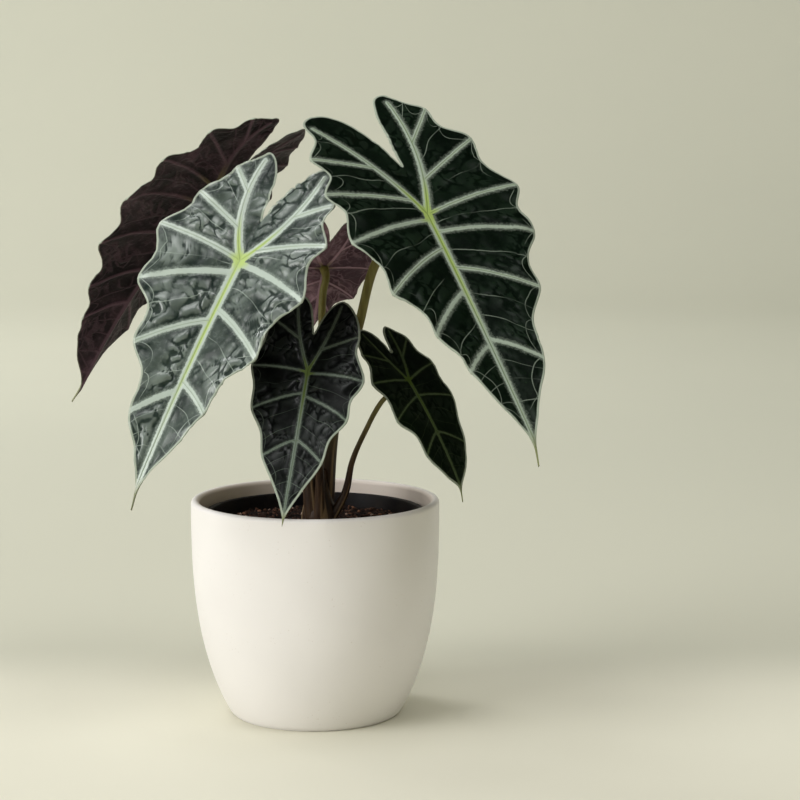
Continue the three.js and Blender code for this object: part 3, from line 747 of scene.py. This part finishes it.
# Axes of a blade at its petiole: along the midrib, to the right and up
def leafAxes(leaf):
    heading, dip, roll = (leaf[key] * degree for key in ("heading", "dip", "roll"))
    along = np.array([math.cos(heading) * math.cos(dip), math.sin(heading) * math.cos(dip), -math.sin(dip)])
    level = np.array([math.cos(heading) * math.sin(dip), math.sin(heading) * math.sin(dip), math.cos(dip)])
    across = np.cross(level, along)
    right = across * math.cos(roll) + level * math.sin(roll)
    up = level * math.cos(roll) - across * math.sin(roll)
    return along, right, up


# A length laid along an arc of steady rate: sin(a) / rate and (1 - cos(a)) / rate
def arc(length, rate):
    angle = rate * length
    safe = np.where(np.abs(rate) < 1e-9, 1e-9, rate)
    return np.sin(angle) / safe, (1 - np.cos(angle)) / safe


# The blade in space: the midrib bends along one arc, each side leaves it at the fold
# angle and curls down along another
def bladePoint(leaf, u, v, lift):
    along, right, up = leafAxes(leaf)
    bend = np.where(v >= 0, leaf["bend"], leaf["lobeBend"]) * degree / 100
    ahead, down = arc(v, bend)
    upHere = np.cos(bend * v)[..., None] * up + np.sin(bend * v)[..., None] * along
    leftSide, rightSide = leaf["left"], leaf["right"]
    fold, curl = (np.where(u < 0, leftSide[key], rightSide[key]) * degree for key in ("fold", "curl"))
    out, droop = arc(np.abs(u), curl / 100)
    sideways = (out * np.cos(fold) + droop * np.sin(fold)) * np.sign(u)
    upwards = out * np.sin(fold) - droop * np.cos(fold) + lift
    return (np.array(leaf["joint"], dtype=float) + ahead[..., None] * along - down[..., None] * up
            + sideways[..., None] * right + upwards[..., None] * upHere)


# The direction square to a blade, from short steps across and along it
def bladeNormal(leaf, u, v, lift):
    step = 0.5
    across = bladePoint(leaf, u + step, v, lift) - bladePoint(leaf, u - step, v, lift)
    ahead = bladePoint(leaf, u, v + step, lift) - bladePoint(leaf, u, v - step, lift)
    normal = np.cross(ahead, across)
    return normal / np.linalg.norm(normal, axis=-1, keepdims=True)


# The main veins as lines in the flat blade, each with its half widths at root and end
# and how far yellow-green runs along it
def mainVeins(leaf, look):
    root = np.linspace(0, leaf["length"], 80)
    lines = [(spinePoint(leaf, "left", root), look["midrib"], look["warm"][0] / leaf["length"])]
    share = np.linspace(0, 1, 40)
    for side in ("left", "right"):
        starts = sideRoots(leaf, side)
        root = np.linspace(0, starts[0], 60)
        lines.append((spinePoint(leaf, side, root), look["costa"], -look["warm"][1] / starts[0]))
        rows, _ = outerRows(leaf, side, np.arange(1.0, len(starts) - 1), starts[1:-1], share)
        lines += [(row, look["vein"], 0.0) for row in rows]
    return lines


# The same count of even steps from each number to the next
def stepsBetween(knots, count):
    return np.interp(np.linspace(0, len(knots) - 1, (len(knots) - 1) * count + 1), range(len(knots)), knots)


# The two strips of a side in u and v: from spine to edge, and from costa to inner edge.
# The margin waves up and down, grown with the square of the way out: a cosine with one
# wave for each vein and a seeded ripple, both in shares of the distance from the spine.
# The thin veins are the whole numbers of phase, which counts so many between two veins,
# and pitch is the gap from one to the next. Loop is how far a point lies beyond the
# arcs that link them near the edge.
def bladePatches(leaf, look, side):
    share = np.linspace(0, 1, leaf["columns"] + 1) ** bladeForm["columnSpread"]
    starts = sideRoots(leaf, side)
    costal = stepsBetween([*starts[starts < 0], 0], leaf["rows"])
    midrib = stepsBetween([*leaf["midribRoots"], leaf["length"]], leaf["rows"])
    root = np.concatenate([costal[:-1], midrib])
    station = np.interp(root, starts, range(len(starts)))
    flat, reach = outerRows(leaf, side, station, root, share)
    u, v = flat[..., 0], flat[..., 1]
    seed = look["seed"] * 10 + (side == "left")
    wave = -np.cos(2 * np.pi * station) * bladeForm["waveHeight"] * np.clip(2 * station, 0, 1)
    wave[-1] = 0

    size = leaf["length"] / 150
    spacing = np.hypot(*np.gradient(flat, axis=0).reshape(-1, 2).T).reshape(u.shape)
    perRow = np.maximum(np.gradient(station), 1e-6)[:, None]
    counts = np.full(len(starts) - 1, 2.0)
    onMidrib = starts[:-1] >= 0
    fitting = np.round(np.diff(starts)[onMidrib] / (threadForm["gap"] * size))
    counts[onMidrib] = np.clip(fitting, 2, 3)
    counts[-1] = 6
    phase = np.interp(station, range(len(starts)), np.concatenate([[0], np.cumsum(counts)]))
    phase = phase[:, None] + threadForm["stray"] * ripple(u, v, 22 * size, seed + 9)
    pitch = spacing / perRow / np.interp(station, np.arange(len(counts)) + 0.5, counts)[:, None]
    margin = reach[:, None] * (1 - share[None])
    within = (2 * station) % 1
    least, more = threadForm["archDepth"]
    depth = least + more * np.modf(np.abs(np.sin(np.floor(2 * station) * 78.2 + seed) * 43.7))[0]
    loop = margin - (0.5 + depth * size * np.sin(np.pi * within) ** 0.7)[:, None]
    loop += threadForm["archStray"] * size * ripple(u, v, 14 * size, seed + 7)
    stir = np.clip(station, 0, 1)[:, None] * ripple(u, v, 20, seed + 3) * share[None] ** 2
    lift = (wave[:, None] * share[None] ** 2 + bladeForm["stir"] * stir) * reach[:, None]
    outer = {"flat": flat, "lift": lift, "phase": phase, "pitch": pitch, "loop": loop,
             "toEdge": np.broadcast_to(share, u.shape), "mirrored": side == "left"}

    flat = innerRows(leaf, side, costal, share)
    nothing = np.zeros(flat.shape[:2])
    inner = {"flat": flat, "lift": nothing, "phase": nothing + 0.5, "pitch": nothing + 9,
             "loop": nothing + 9, "toEdge": nothing, "mirrored": side == "right"}
    return outer, inner


# How far points lie beyond the nearest main vein's half width, how far from its middle
# line, and how yellow-green it is there
def veinBands(flat, veins):
    band, groove, warm = np.full(len(flat), 1e3), np.full(len(flat), 1e3), np.zeros(len(flat))
    for line, (wide, narrow), warmth in veins:
        distance, along = lineDistance(flat, line)
        beyond = distance - (wide + (narrow - wide) * along)
        groove = np.where(beyond < band, distance, groove)
        warm = np.where(beyond < band, 1 - smooth(along, 0.35 * warmth, warmth + 0.01), warm)
        band = np.minimum(band, beyond)
    return band, groove, warm


# Quilting between the veins: a swell off each vein with large and small bulges on it, each
# rounded as 1 - distance ^ 2 and meeting the next in a crease, stronger in some places
# than others. Creases and crests come back too, for the skin's tones, which take painted
# shade in the creases and painted light on the crests.
def quiltAt(u, v, band, look, size):
    seed, cell = look["seed"], quilting["lump"] * size ** 0.5
    swell = smooth(band, -0.3, 5 * size)
    stray = quilting["stray"] * ripple(u, v, quilting["strayLength"], seed + 70)
    near, other = bulgesAt(u + stray, v - stray, cell, seed)
    small, _ = bulgesAt(u - stray, v + stray, quilting["smallShare"] * cell, seed + 5)
    strong = np.clip(0.7 + 0.5 * ripple(u, v, 30, seed + 80), 0.2, 1.3) * swell
    crease = 1 - smooth(other - near, 0.0, quilting["creaseWidth"])
    crest = 1 - near ** 2
    relief = (quilting["lumpHeight"] * crest - quilting["creaseDepth"] * crease
              - quilting["smallDepth"] * small ** 2 - quilting["level"]) * strong
    relief += (0.35 + 0.3 * ripple(u, v, 15, seed + 60)) * swell
    return relief * look["quilt"], crease * strong, crest * strong


# A blade is closed: an upper skin, an underside with raised ribs, and a wall round the rim
def makeBlade(name, materials):
    leaf, look = leafForms[name], leafLooks[name]
    size = leaf["length"] / 150
    patches = [patch for side in ("left", "right") for patch in bladePatches(leaf, look, side)]
    rim = [patch["flat"][:, -1] for patch in patches]
    veins = mainVeins(leaf, look)
    points, faces, slots, kept, numbers = [], [], [], {}, 0
    for patch in patches:
        shape = patch["flat"].shape[:2]
        flat = patch["flat"].reshape(-1, 2)
        u, v = flat.T
        band, groove, warm = veinBands(flat, veins)
        toRim = np.min([lineDistance(flat, line)[0] for line in rim], axis=0)
        relief, crease, crest = quiltAt(u, v, band, look, size)
        relief = relief + bladeForm["veinHeight"] * smooth(-band, 0, 0.8)
        lift = patch["lift"].ravel() + relief
        normal = bladeNormal(leaf, u, v, lift)
        middle = bladePoint(leaf, u, v, lift)
        inwards = smooth(toRim, 0, bladeForm["marginWidth"])
        thinnest = bladeForm["thinMargin"]
        thin = bladeForm["thickness"] / 2 * (thinnest + (1 - thinnest) * inwards)
        rib = bladeForm["ribHeight"] * size * smooth(-band, -1.2, 1.6)
        top = middle + normal * thin[:, None]
        under = middle - normal * (thin + rib)[:, None]
        grid = numbers + np.arange(len(flat)).reshape(shape)
        lower = grid + len(flat)
        topFaces = gridFaces(grid)
        underFaces = gridFaces(lower)[:, ::-1]
        wall = gridFaces(np.stack([grid[:, -1], lower[:, -1]], axis=1))
        if patch["mirrored"]:
            topFaces, underFaces, wall = topFaces[:, ::-1], underFaces[:, ::-1], wall[:, ::-1]
        points += [top, under]
        faces += [topFaces, underFaces, wall]
        slots += [np.zeros(len(topFaces)), np.ones(len(underFaces)), np.zeros(len(wall))]
        drip = smooth(v, leaf["length"] - 1.5 * leaf["drip"][1], leaf["length"] - 0.6 * leaf["drip"][1])
        values = {"vein": band, "groove": groove, "warm": warm, "rim": toRim, "heart": np.hypot(u, v),
                  "drip": drip, "crease": crease, "crest": crest}
        values.update({label: patch[label].ravel() for label in ("phase", "pitch", "loop", "toEdge")})
        for label, value in values.items():
            kept.setdefault(label, []).extend([value, value])
        numbers += 2 * len(flat)
    attributes = {label: np.concatenate(value) for label, value in kept.items()}
    piece = newPiece(name + "_blade", np.concatenate(points), np.concatenate(faces), materials,
                     np.concatenate(slots), attributes)
    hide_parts(name)
    return piece


# Tones that all blades share: above, their rim and drip tip, and below, the ribs by the
# petiole and the rim
skinTones = {
    "rim": (0.36, 0.41, 0.33), "dripTip": (0.15, 0.16, 0.05),
    "underHeart": (0.17, 0.15, 0.045), "underRim": (0.2, 0.17, 0.14),
}


# Distances to the thin veins, at the whole numbers of phase and at the zero of loop
def threadGaps(wire):
    phase = wire.attribute("phase")
    gap = (0.5 - abs(phase.sum("FRACT", phase) - 0.5)) * wire.attribute("pitch")
    return gap, abs(wire.attribute("loop"))


# The upper skin. A vein is where the distance beyond its half width, roughened by fine
# noise, is below zero, with a haze outside it and a dark olive line in its middle, partly its
# own colour and partly painted shade of its groove. It is yellow-green by the petiole and in
# a strip along midrib and costae. Thin veins break up in places, and a pale line follows the
# rim. Between them the skin is painted paler on bulges as light and darker in creases as
# shade, and its coat is glossiest on the bulges and the veins.
def upperFinish(name):
    look = leafLooks[name]
    size = leafForms[name]["length"] / 150
    material, wire, place = newMaterial(name + "_upper_skin")
    fuzz = place.noise(1500, 3) - 0.5
    frayed = place.noise(620, 2) - 0.5
    band = wire.attribute("vein")
    groove = wire.attribute("groove")
    core = (band + fuzz * (1.2 * size) + frayed * (1.1 * size)).fall(-0.15 * size, 0.4 * size)
    haze = (band + fuzz * (3 * size) + frayed * (2.2 * size)).fall(-0.1, 2.1 * size) * 0.36
    gap, arch = threadGaps(wire)
    closer = wire.attribute("pitch").fall(4.5 * size, 8 * size)
    thread = (gap + fuzz * 0.2).fall(0.05 * size, 0.42 * size) * place.noise(40, 2).rise(0.3, 0.6)
    thread = thread * wire.attribute("toEdge").rise(0.0, 0.12) * (0.45 + closer * 0.35)
    loop = (arch + fuzz * 0.2).fall(0.05 * size, 0.38 * size)
    loop = loop * place.noise(55, 2).rise(0.34, 0.56) * 0.5
    thin = thread.most(loop)
    edge = (wire.attribute("rim") + fuzz * 0.3).fall(0.75, 1.4)

    cloud = place.noise(46, 3)
    # Painted light on the bulges' crests and painted shade in their creases; both also set the coat's gloss
    litCrest = wire.attribute("crest").rise(0.15, 0.8)
    shadedCrease = (wire.attribute("crease") + (place.noise(160, 2) - 0.5) * 1.3).rise(0.2, 0.8)
    skin = (cloud.rise(0.36, 0.68) * 0.4 + litCrest * 0.6).mix(look["darkAndShaded"], look["paleAndLit"])
    skin = (place.noise(420, 3).rise(0.5, 0.7) * 0.3).mix(skin, look["paleAndLit"])
    skin = (shadedCrease * 0.85).mix(skin, look["darkAndShaded"])
    red, green, blue = pale = look["tone"]
    strip = wire.attribute("warm") * (groove + fuzz * 0.5).fall(0.5 * size, 1.5 * size)
    warm = wire.attribute("heart").fall(2.5, 9 * size).most(strip)
    colour = haze.most(thin).mix(skin, pale)
    colour = (core * 0.94).mix(colour, warm.mix(pale, (red, green * 1.12, blue * 0.36)))
    # The dark line in a vein's middle is partly its own olive and partly painted shade of its groove
    line = (groove + fuzz * 0.25).fall(0.08, 0.3 * size + 0.16) * band.fall(-0.9 * size, -0.3 * size)
    colour = (line * look["line"]).mix(colour, (red * 0.33, green * 0.42, blue * 0.12))
    colour = (edge * 0.85).mix(colour, skinTones["rim"])
    colour = (wire.attribute("drip") * 0.85).mix(colour, skinTones["dripTip"])
    ridges = core * 0.6 + thin * 0.3 - line * 0.8 + place.noise(330, 3) * 0.45 + place.noise(900, 3) * 0.2
    ridges = ridges + edge * 0.4
    shine = (1.0 - shadedCrease * 0.9) * (0.3 + litCrest * 0.7)
    finishMaterial(wire, {"Base Color": colour, "Roughness": look["rough"] + 0.15 + core * 0.15,
                          "Normal": ridges.bump(0.0003, 0.8), "Specular IOR Level": 0.12 * look["gloss"],
                          "Coat Weight": shine.most(core) * look["gloss"], "Coat IOR": 1.6,
                          "Coat Roughness": look["rough"]})
    return material


# The underside: dull purple-brown with paler ribs and threads, olive by the petiole, and
# darker between its crinkles as painted shade
def underFinish(name):
    look = leafLooks[name]
    size = leafForms[name]["length"] / 150
    material, wire, place = newMaterial(name + "_underside")
    gap, arch = threadGaps(wire)
    thread = gap.fall(0.2 * size, 0.9 * size) * 0.6
    loop = arch.fall(0.2 * size, 0.9 * size) * 0.5
    rib = wire.attribute("vein").fall(-0.6 * size, 0.6 * size)
    cloud = place.noise(50, 4)
    crease = wire.attribute("crease").rise(0.2, 0.8)
    crinkleAndShade = place.noise(190, 3).rise(0.42, 0.66)
    net = thread.most(loop).most(crease * 0.6)
    netTone, ribTone = (tuple(part * lighter for part in look["underPale"]) for lighter in (1.15, 1.5))
    skin = cloud.rise(0.35, 0.7).mix(look["under"], look["underPale"])
    # Painted shade between the crinkles, which also make its bump
    skin = ((1.0 - crinkleAndShade) * 0.6).mix(skin, look["under"])
    skin = (net * 0.7).mix(skin, netTone)
    heart = wire.attribute("heart").fall(2 * size, 24 * size)
    colour = (rib * 0.7).mix(skin, heart.mix(ribTone, skinTones["underHeart"]))
    colour = (wire.attribute("rim").fall(0.3, 0.8) * 0.5).mix(colour, skinTones["underRim"])
    ridges = (net + crinkleAndShade * 0.9 + place.noise(500, 3) * 0.5).bump(0.0004, 0.8)
    finishMaterial(wire, {"Base Color": colour, "Roughness": 0.46 + cloud * 0.12, "Normal": ridges,
                          "Specular IOR Level": 0.15})
    return material


# The petioles run from the crown through these points to their leaves, with these radii
# at the bottom and the top
petioleForms = {
    "leaf_back_left": {
        "radii": (5, 2.5), "path": [(0, 3, 100), (-5, 8, 165), (-19, 16, 228), (-38, 23, 272)]},
    "leaf_front_left": {
        "radii": (5, 2.4), "path": [(0, -3, 100), (-6, -6, 155), (-14, -13, 210), (-25, -26, 243)]},
    "leaf_right": {
        "radii": (5, 2.6), "path": [(5, 2, 100), (11, 4, 165), (25, 3, 221), (35.5, -1, 257)]},
    "leaf_back": {
        "radii": (4, 2.1), "path": [(4, 5, 100), (3.6, 9, 160), (3.4, 19, 210), (4, 26, 236)]},
    "leaf_front": {
        "radii": (4, 1.9), "path": [(2, -5, 100), (3, -12, 140), (2, -28, 174), (0, -39, 189)]},
    "leaf_front_right": {
        "radii": (3.2, 1.4),
        "path": [(7, -2, 107), (17, -3, 126), (21, -6, 144), (28, -11, 161), (39, -18, 181)]},
}

# How far below its blade a petiole turns towards it, the gap it leaves there, the angles
# of its two dry sheath edges, how wide and high they are and over which share of its
# length they die away, and its tones
petioleForm = {
    "landing": 7, "gap": 0.45, "rows": 120, "sides": 28, "flare": 0.25,
    "edges": (2.0, 4.3), "edgeWidth": 0.22, "edgeHeight": 0.16, "edgeSpan": (0.12, 0.42),
    "olive": ((0.145, 0.125, 0.026), (0.21, 0.19, 0.05)),
    "brown": ((0.024, 0.0115, 0.006), (0.066, 0.034, 0.016)), "dry": (0.30, 0.205, 0.11),
}


# Points at even steps along the curve through a path's points
def smoothCurve(points, count):
    fine = curveAt(points, np.linspace(0, len(points) - 1 - 1e-6, count * 4))
    length = np.concatenate([[0], np.cumsum(np.linalg.norm(np.diff(fine, axis=0), axis=1))])
    even = np.linspace(0, length[-1], count)
    return np.stack([np.interp(even, length, fine[:, k]) for k in range(3)], axis=1)


# Two directions square to a path at each of its points, turned as little as possible
def pathFrames(path):
    tangent = np.gradient(path, axis=0)
    tangent /= np.linalg.norm(tangent, axis=1, keepdims=True)
    first = np.zeros_like(tangent)
    side = np.cross(tangent[0], (0, 1, 0))
    for i, direction in enumerate(tangent):
        side = side - direction * side.dot(direction)
        side = side / np.linalg.norm(side)
        first[i] = side
    return first, np.cross(tangent, first)


# A petiole is a round tube that thins upwards, with two sheath edges near its base
# that stand out of it and die away, and a slight flare where it meets the blade
def makePetiole(name, material):
    form, leaf = petioleForms[name], leafForms[name]
    up, joint = leafAxes(leaf)[2], np.array(leaf["joint"], dtype=float)
    points = [*form["path"], joint - petioleForm["landing"] * up, joint - petioleForm["gap"] * up]
    path = smoothCurve(points, petioleForm["rows"])
    first, second = pathFrames(path)
    rise = np.linspace(0, 1, petioleForm["rows"])[:, None]
    taper = np.minimum(1, 1.6 * rise)
    radius = form["radii"][0] + (form["radii"][1] - form["radii"][0]) * taper * (2 - taper)
    flare = 1 + petioleForm["flare"] * smooth(rise, 0.955, 1)
    angle = roundAngles(petioleForm["sides"])
    wings = sum(np.exp(-((angle - edge) / petioleForm["edgeWidth"]) ** 2) for edge in petioleForm["edges"])
    sheath = wings * petioleForm["edgeHeight"] * (1 - smooth(rise, *petioleForm["edgeSpan"]))
    streak = 0.018 * np.cos(angle * 9 + 3 * rise) + 0.02 * ripple(angle * 2, rise * 40, 5, 71)
    reach = radius * flare * (1 + sheath + streak)
    rows = (path[:, None] + first[:, None] * (reach * np.cos(angle))[..., None]
            + second[:, None] * (reach * np.sin(angle))[..., None])
    rows = capped(rows, path[0], path[-1])
    sheath = capped(sheath, sheath[0], sheath[-1])
    newPiece("petiole_of_" + name, rows.reshape(-1, 3), ringFaces(*rows.shape[:2]), [material],
             attributes={"sheath": sheath.ravel()})


# The crown: a short thick stock with the ends of old sheaths round it
crownForm = {
    "rows": 40, "sides": 72, "top": 138, "taper": 0.62, "taperLength": 30, "sheathEnds": (0.055, 0.03),
}


# Its radius narrows above the soil, with three broad and seven fine ridges round it that
# turn slowly with the height: broad * cos(3 a) + fine * cos(7 a)
def makeCrown(material):
    top, crownX = soilForm["top"], soilForm["crownX"]
    broad, fine = crownForm["sheathEnds"]
    z = np.linspace(top - soilForm["hole"], crownForm["top"], crownForm["rows"])[:, None]
    angle = roundAngles(crownForm["sides"])
    taper = 1 - crownForm["taper"] * smooth(np.maximum(0, z - top - 2), 0, crownForm["taperLength"])
    ridges = broad * np.cos(3 * angle + 0.6 + 0.03 * z) + fine * np.cos(7 * angle + 0.08 * z)
    outside = smooth(z, top - 3, top + 2)
    radius = soilForm["crownRadius"] * taper * (1 - 0.05 * outside + ridges * outside)
    rows = capped(ringPoints(radius, z, angle, crownX), (crownX, 0, z[0, 0]), (crownX, 0, z[-1, 0] + 1))
    sheath = capped(np.maximum(0, ridges) * outside * 2.2, 0, 0)
    piece = newPiece("crown_stock", rows.reshape(-1, 3), ringFaces(*rows.shape[:2]), [material],
                     attributes={"sheath": sheath.ravel()})
    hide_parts("crown_with_petioles")


# Petiole skin: olive above, turning to dark brown towards the soil, streaked along its
# length, with tan dry sheath edges
def petioleFinish():
    material, wire, place = newMaterial("petiole_skin")
    streak = place.stretched((1, 1, 0.07)).noise(420, 3)
    low = (place.axis(2) + (place.noise(70, 3) - 0.5) * 0.03).fall(0.135, 0.205)
    olive = streak.rise(0.35, 0.7).mix(*petioleForm["olive"])
    brown = streak.rise(0.3, 0.75).mix(*petioleForm["brown"])
    colour = low.mix(olive, brown)
    colour = (wire.attribute("sheath").rise(0.03, 0.12) * 0.75).mix(colour, petioleForm["dry"])
    finishMaterial(wire, {"Base Color": colour, "Roughness": 0.42 + streak * 0.15,
                          "Normal": streak.bump(0.00015, 0.5), "Specular IOR Level": 0.3})
    return material


# Floor and backdrop in one sheet, in metres, flat out to a wide circle and then turned up
stageForm = {
    "middle": 0.6, "flat": 2.6, "bend": 1.6, "wall": 3.2, "sides": 96,
    "floorTones": ((0.685, 0.667, 0.558), (0.705, 0.685, 0.572)),
    # Tones behind the plant are darker than the floor's as painted shade
    "wallShadeTones": ((0.49, 0.488, 0.402), (0.50, 0.497, 0.409)), "nearWallShadeTone": (0.548, 0.541, 0.445),
}


# Painted shade: a little way behind the plant the tone turns darker than the floor's, and
# it darkens further going back
def makeStage():
    turn = np.linspace(0, 90, 16)[1:] * degree
    bend = stageForm["bend"]
    profile = np.concatenate([
        [[0, 0], [stageForm["middle"], 0], [stageForm["flat"], 0]],
        np.stack([stageForm["flat"] + bend * np.sin(turn), bend - bend * np.cos(turn)], axis=1),
        [[stageForm["flat"] + bend, bend + stageForm["wall"]]]])
    points, faces = turned(profile, stageForm["sides"])
    mesh = bpy.data.meshes.new("backdrop")
    mesh.from_pydata(points.tolist(), [], faces.tolist())
    mesh.polygons.foreach_set("use_smooth", [True] * len(mesh.polygons))
    material, wire, place = newMaterial("backdrop_paper")
    behind = place.axis(1)
    tone = place.noise(2, 2).rise(0.2, 0.8)
    floor = tone.mix(*stageForm["floorTones"])
    # Painted shade behind the plant, lighter near it and deepest further back
    wall = behind.fall(0.1, 1.2).mix(tone.mix(*stageForm["wallShadeTones"]), stageForm["nearWallShadeTone"])
    finishMaterial(wire, {"Base Color": behind.rise(0.03, 0.16).mix(floor, wall), "Roughness": 0.9,
                          "Specular IOR Level": 0.2})
    mesh.materials.append(material)
    newObject("backdrop", mesh)


# A window at the left, a lamp high at the right, one overhead and one at the side for the
# leaves' sheen, one on the backdrop, and pale room light
lamps = {
    "window": {"place": (-2.2, -1.4, 1.3), "aim": (0, 0, 0.15), "size": 2.2, "power": 65},
    "right_light": {"place": (0.9, -0.9, 2.1), "aim": (0.3, -0.1, 0), "size": 1.0, "power": 13.3},
    "top_sheen": {"place": (-0.5, -0.35, 1.9), "aim": (0, 0, 0.2), "size": 0.8, "power": 7.5},
    "side_sheen": {"place": (-1.5, 0.5, 1.3), "aim": (0, 0, 0.2), "size": 1.0, "power": 1.5},
    "backdrop_light": {"place": (-1.2, 1.4, 2.4), "aim": (-0.35, 3.6, 0.65), "size": 1.6, "power": 79},
}
roomLight = {"colour": (1, 1, 1), "strength": 0.21}


def makeLights():
    for name, lamp in lamps.items():
        light = bpy.data.lights.new(name, "AREA")
        light.shape = "DISK"
        light.size = lamp["size"]
        light.energy = lamp["power"]
        holder = newObject(name, light)
        holder.location = lamp["place"]
        holder.visible_camera = False
        aim = np.array(lamp["aim"]) - np.array(lamp["place"])
        flat = math.hypot(aim[0], aim[1])
        holder.rotation_euler = (math.pi / 2 + math.atan2(aim[2], flat), 0, math.atan2(-aim[0], aim[1]))
    world = bpy.data.worlds.new("room")
    world.use_nodes = True
    background = world.node_tree.nodes["Background"]
    background.inputs["Color"].default_value = (*roomLight["colour"], 1)
    background.inputs["Strength"].default_value = roomLight["strength"]
    bpy.context.scene.world = world


makePot(ceramicFinish())
makeLiner(plasticFinish())
print("pots made")

makeSoil(soilFinish())
for bitName in bitForms:
    makeBits(bitName)
print("soil made")

skinOfPetioles = petioleFinish()
makeCrown(skinOfPetioles)
for leafName in leafForms:
    makePetiole(leafName, skinOfPetioles)
print("crown and petioles made")

for leafName in leafForms:
    blade = makeBlade(leafName, [upperFinish(leafName), underFinish(leafName)])
    print(leafName, "made,", len(blade.data.polygons), "faces")

makeStage()
makeLights()
print("stage and lights made")
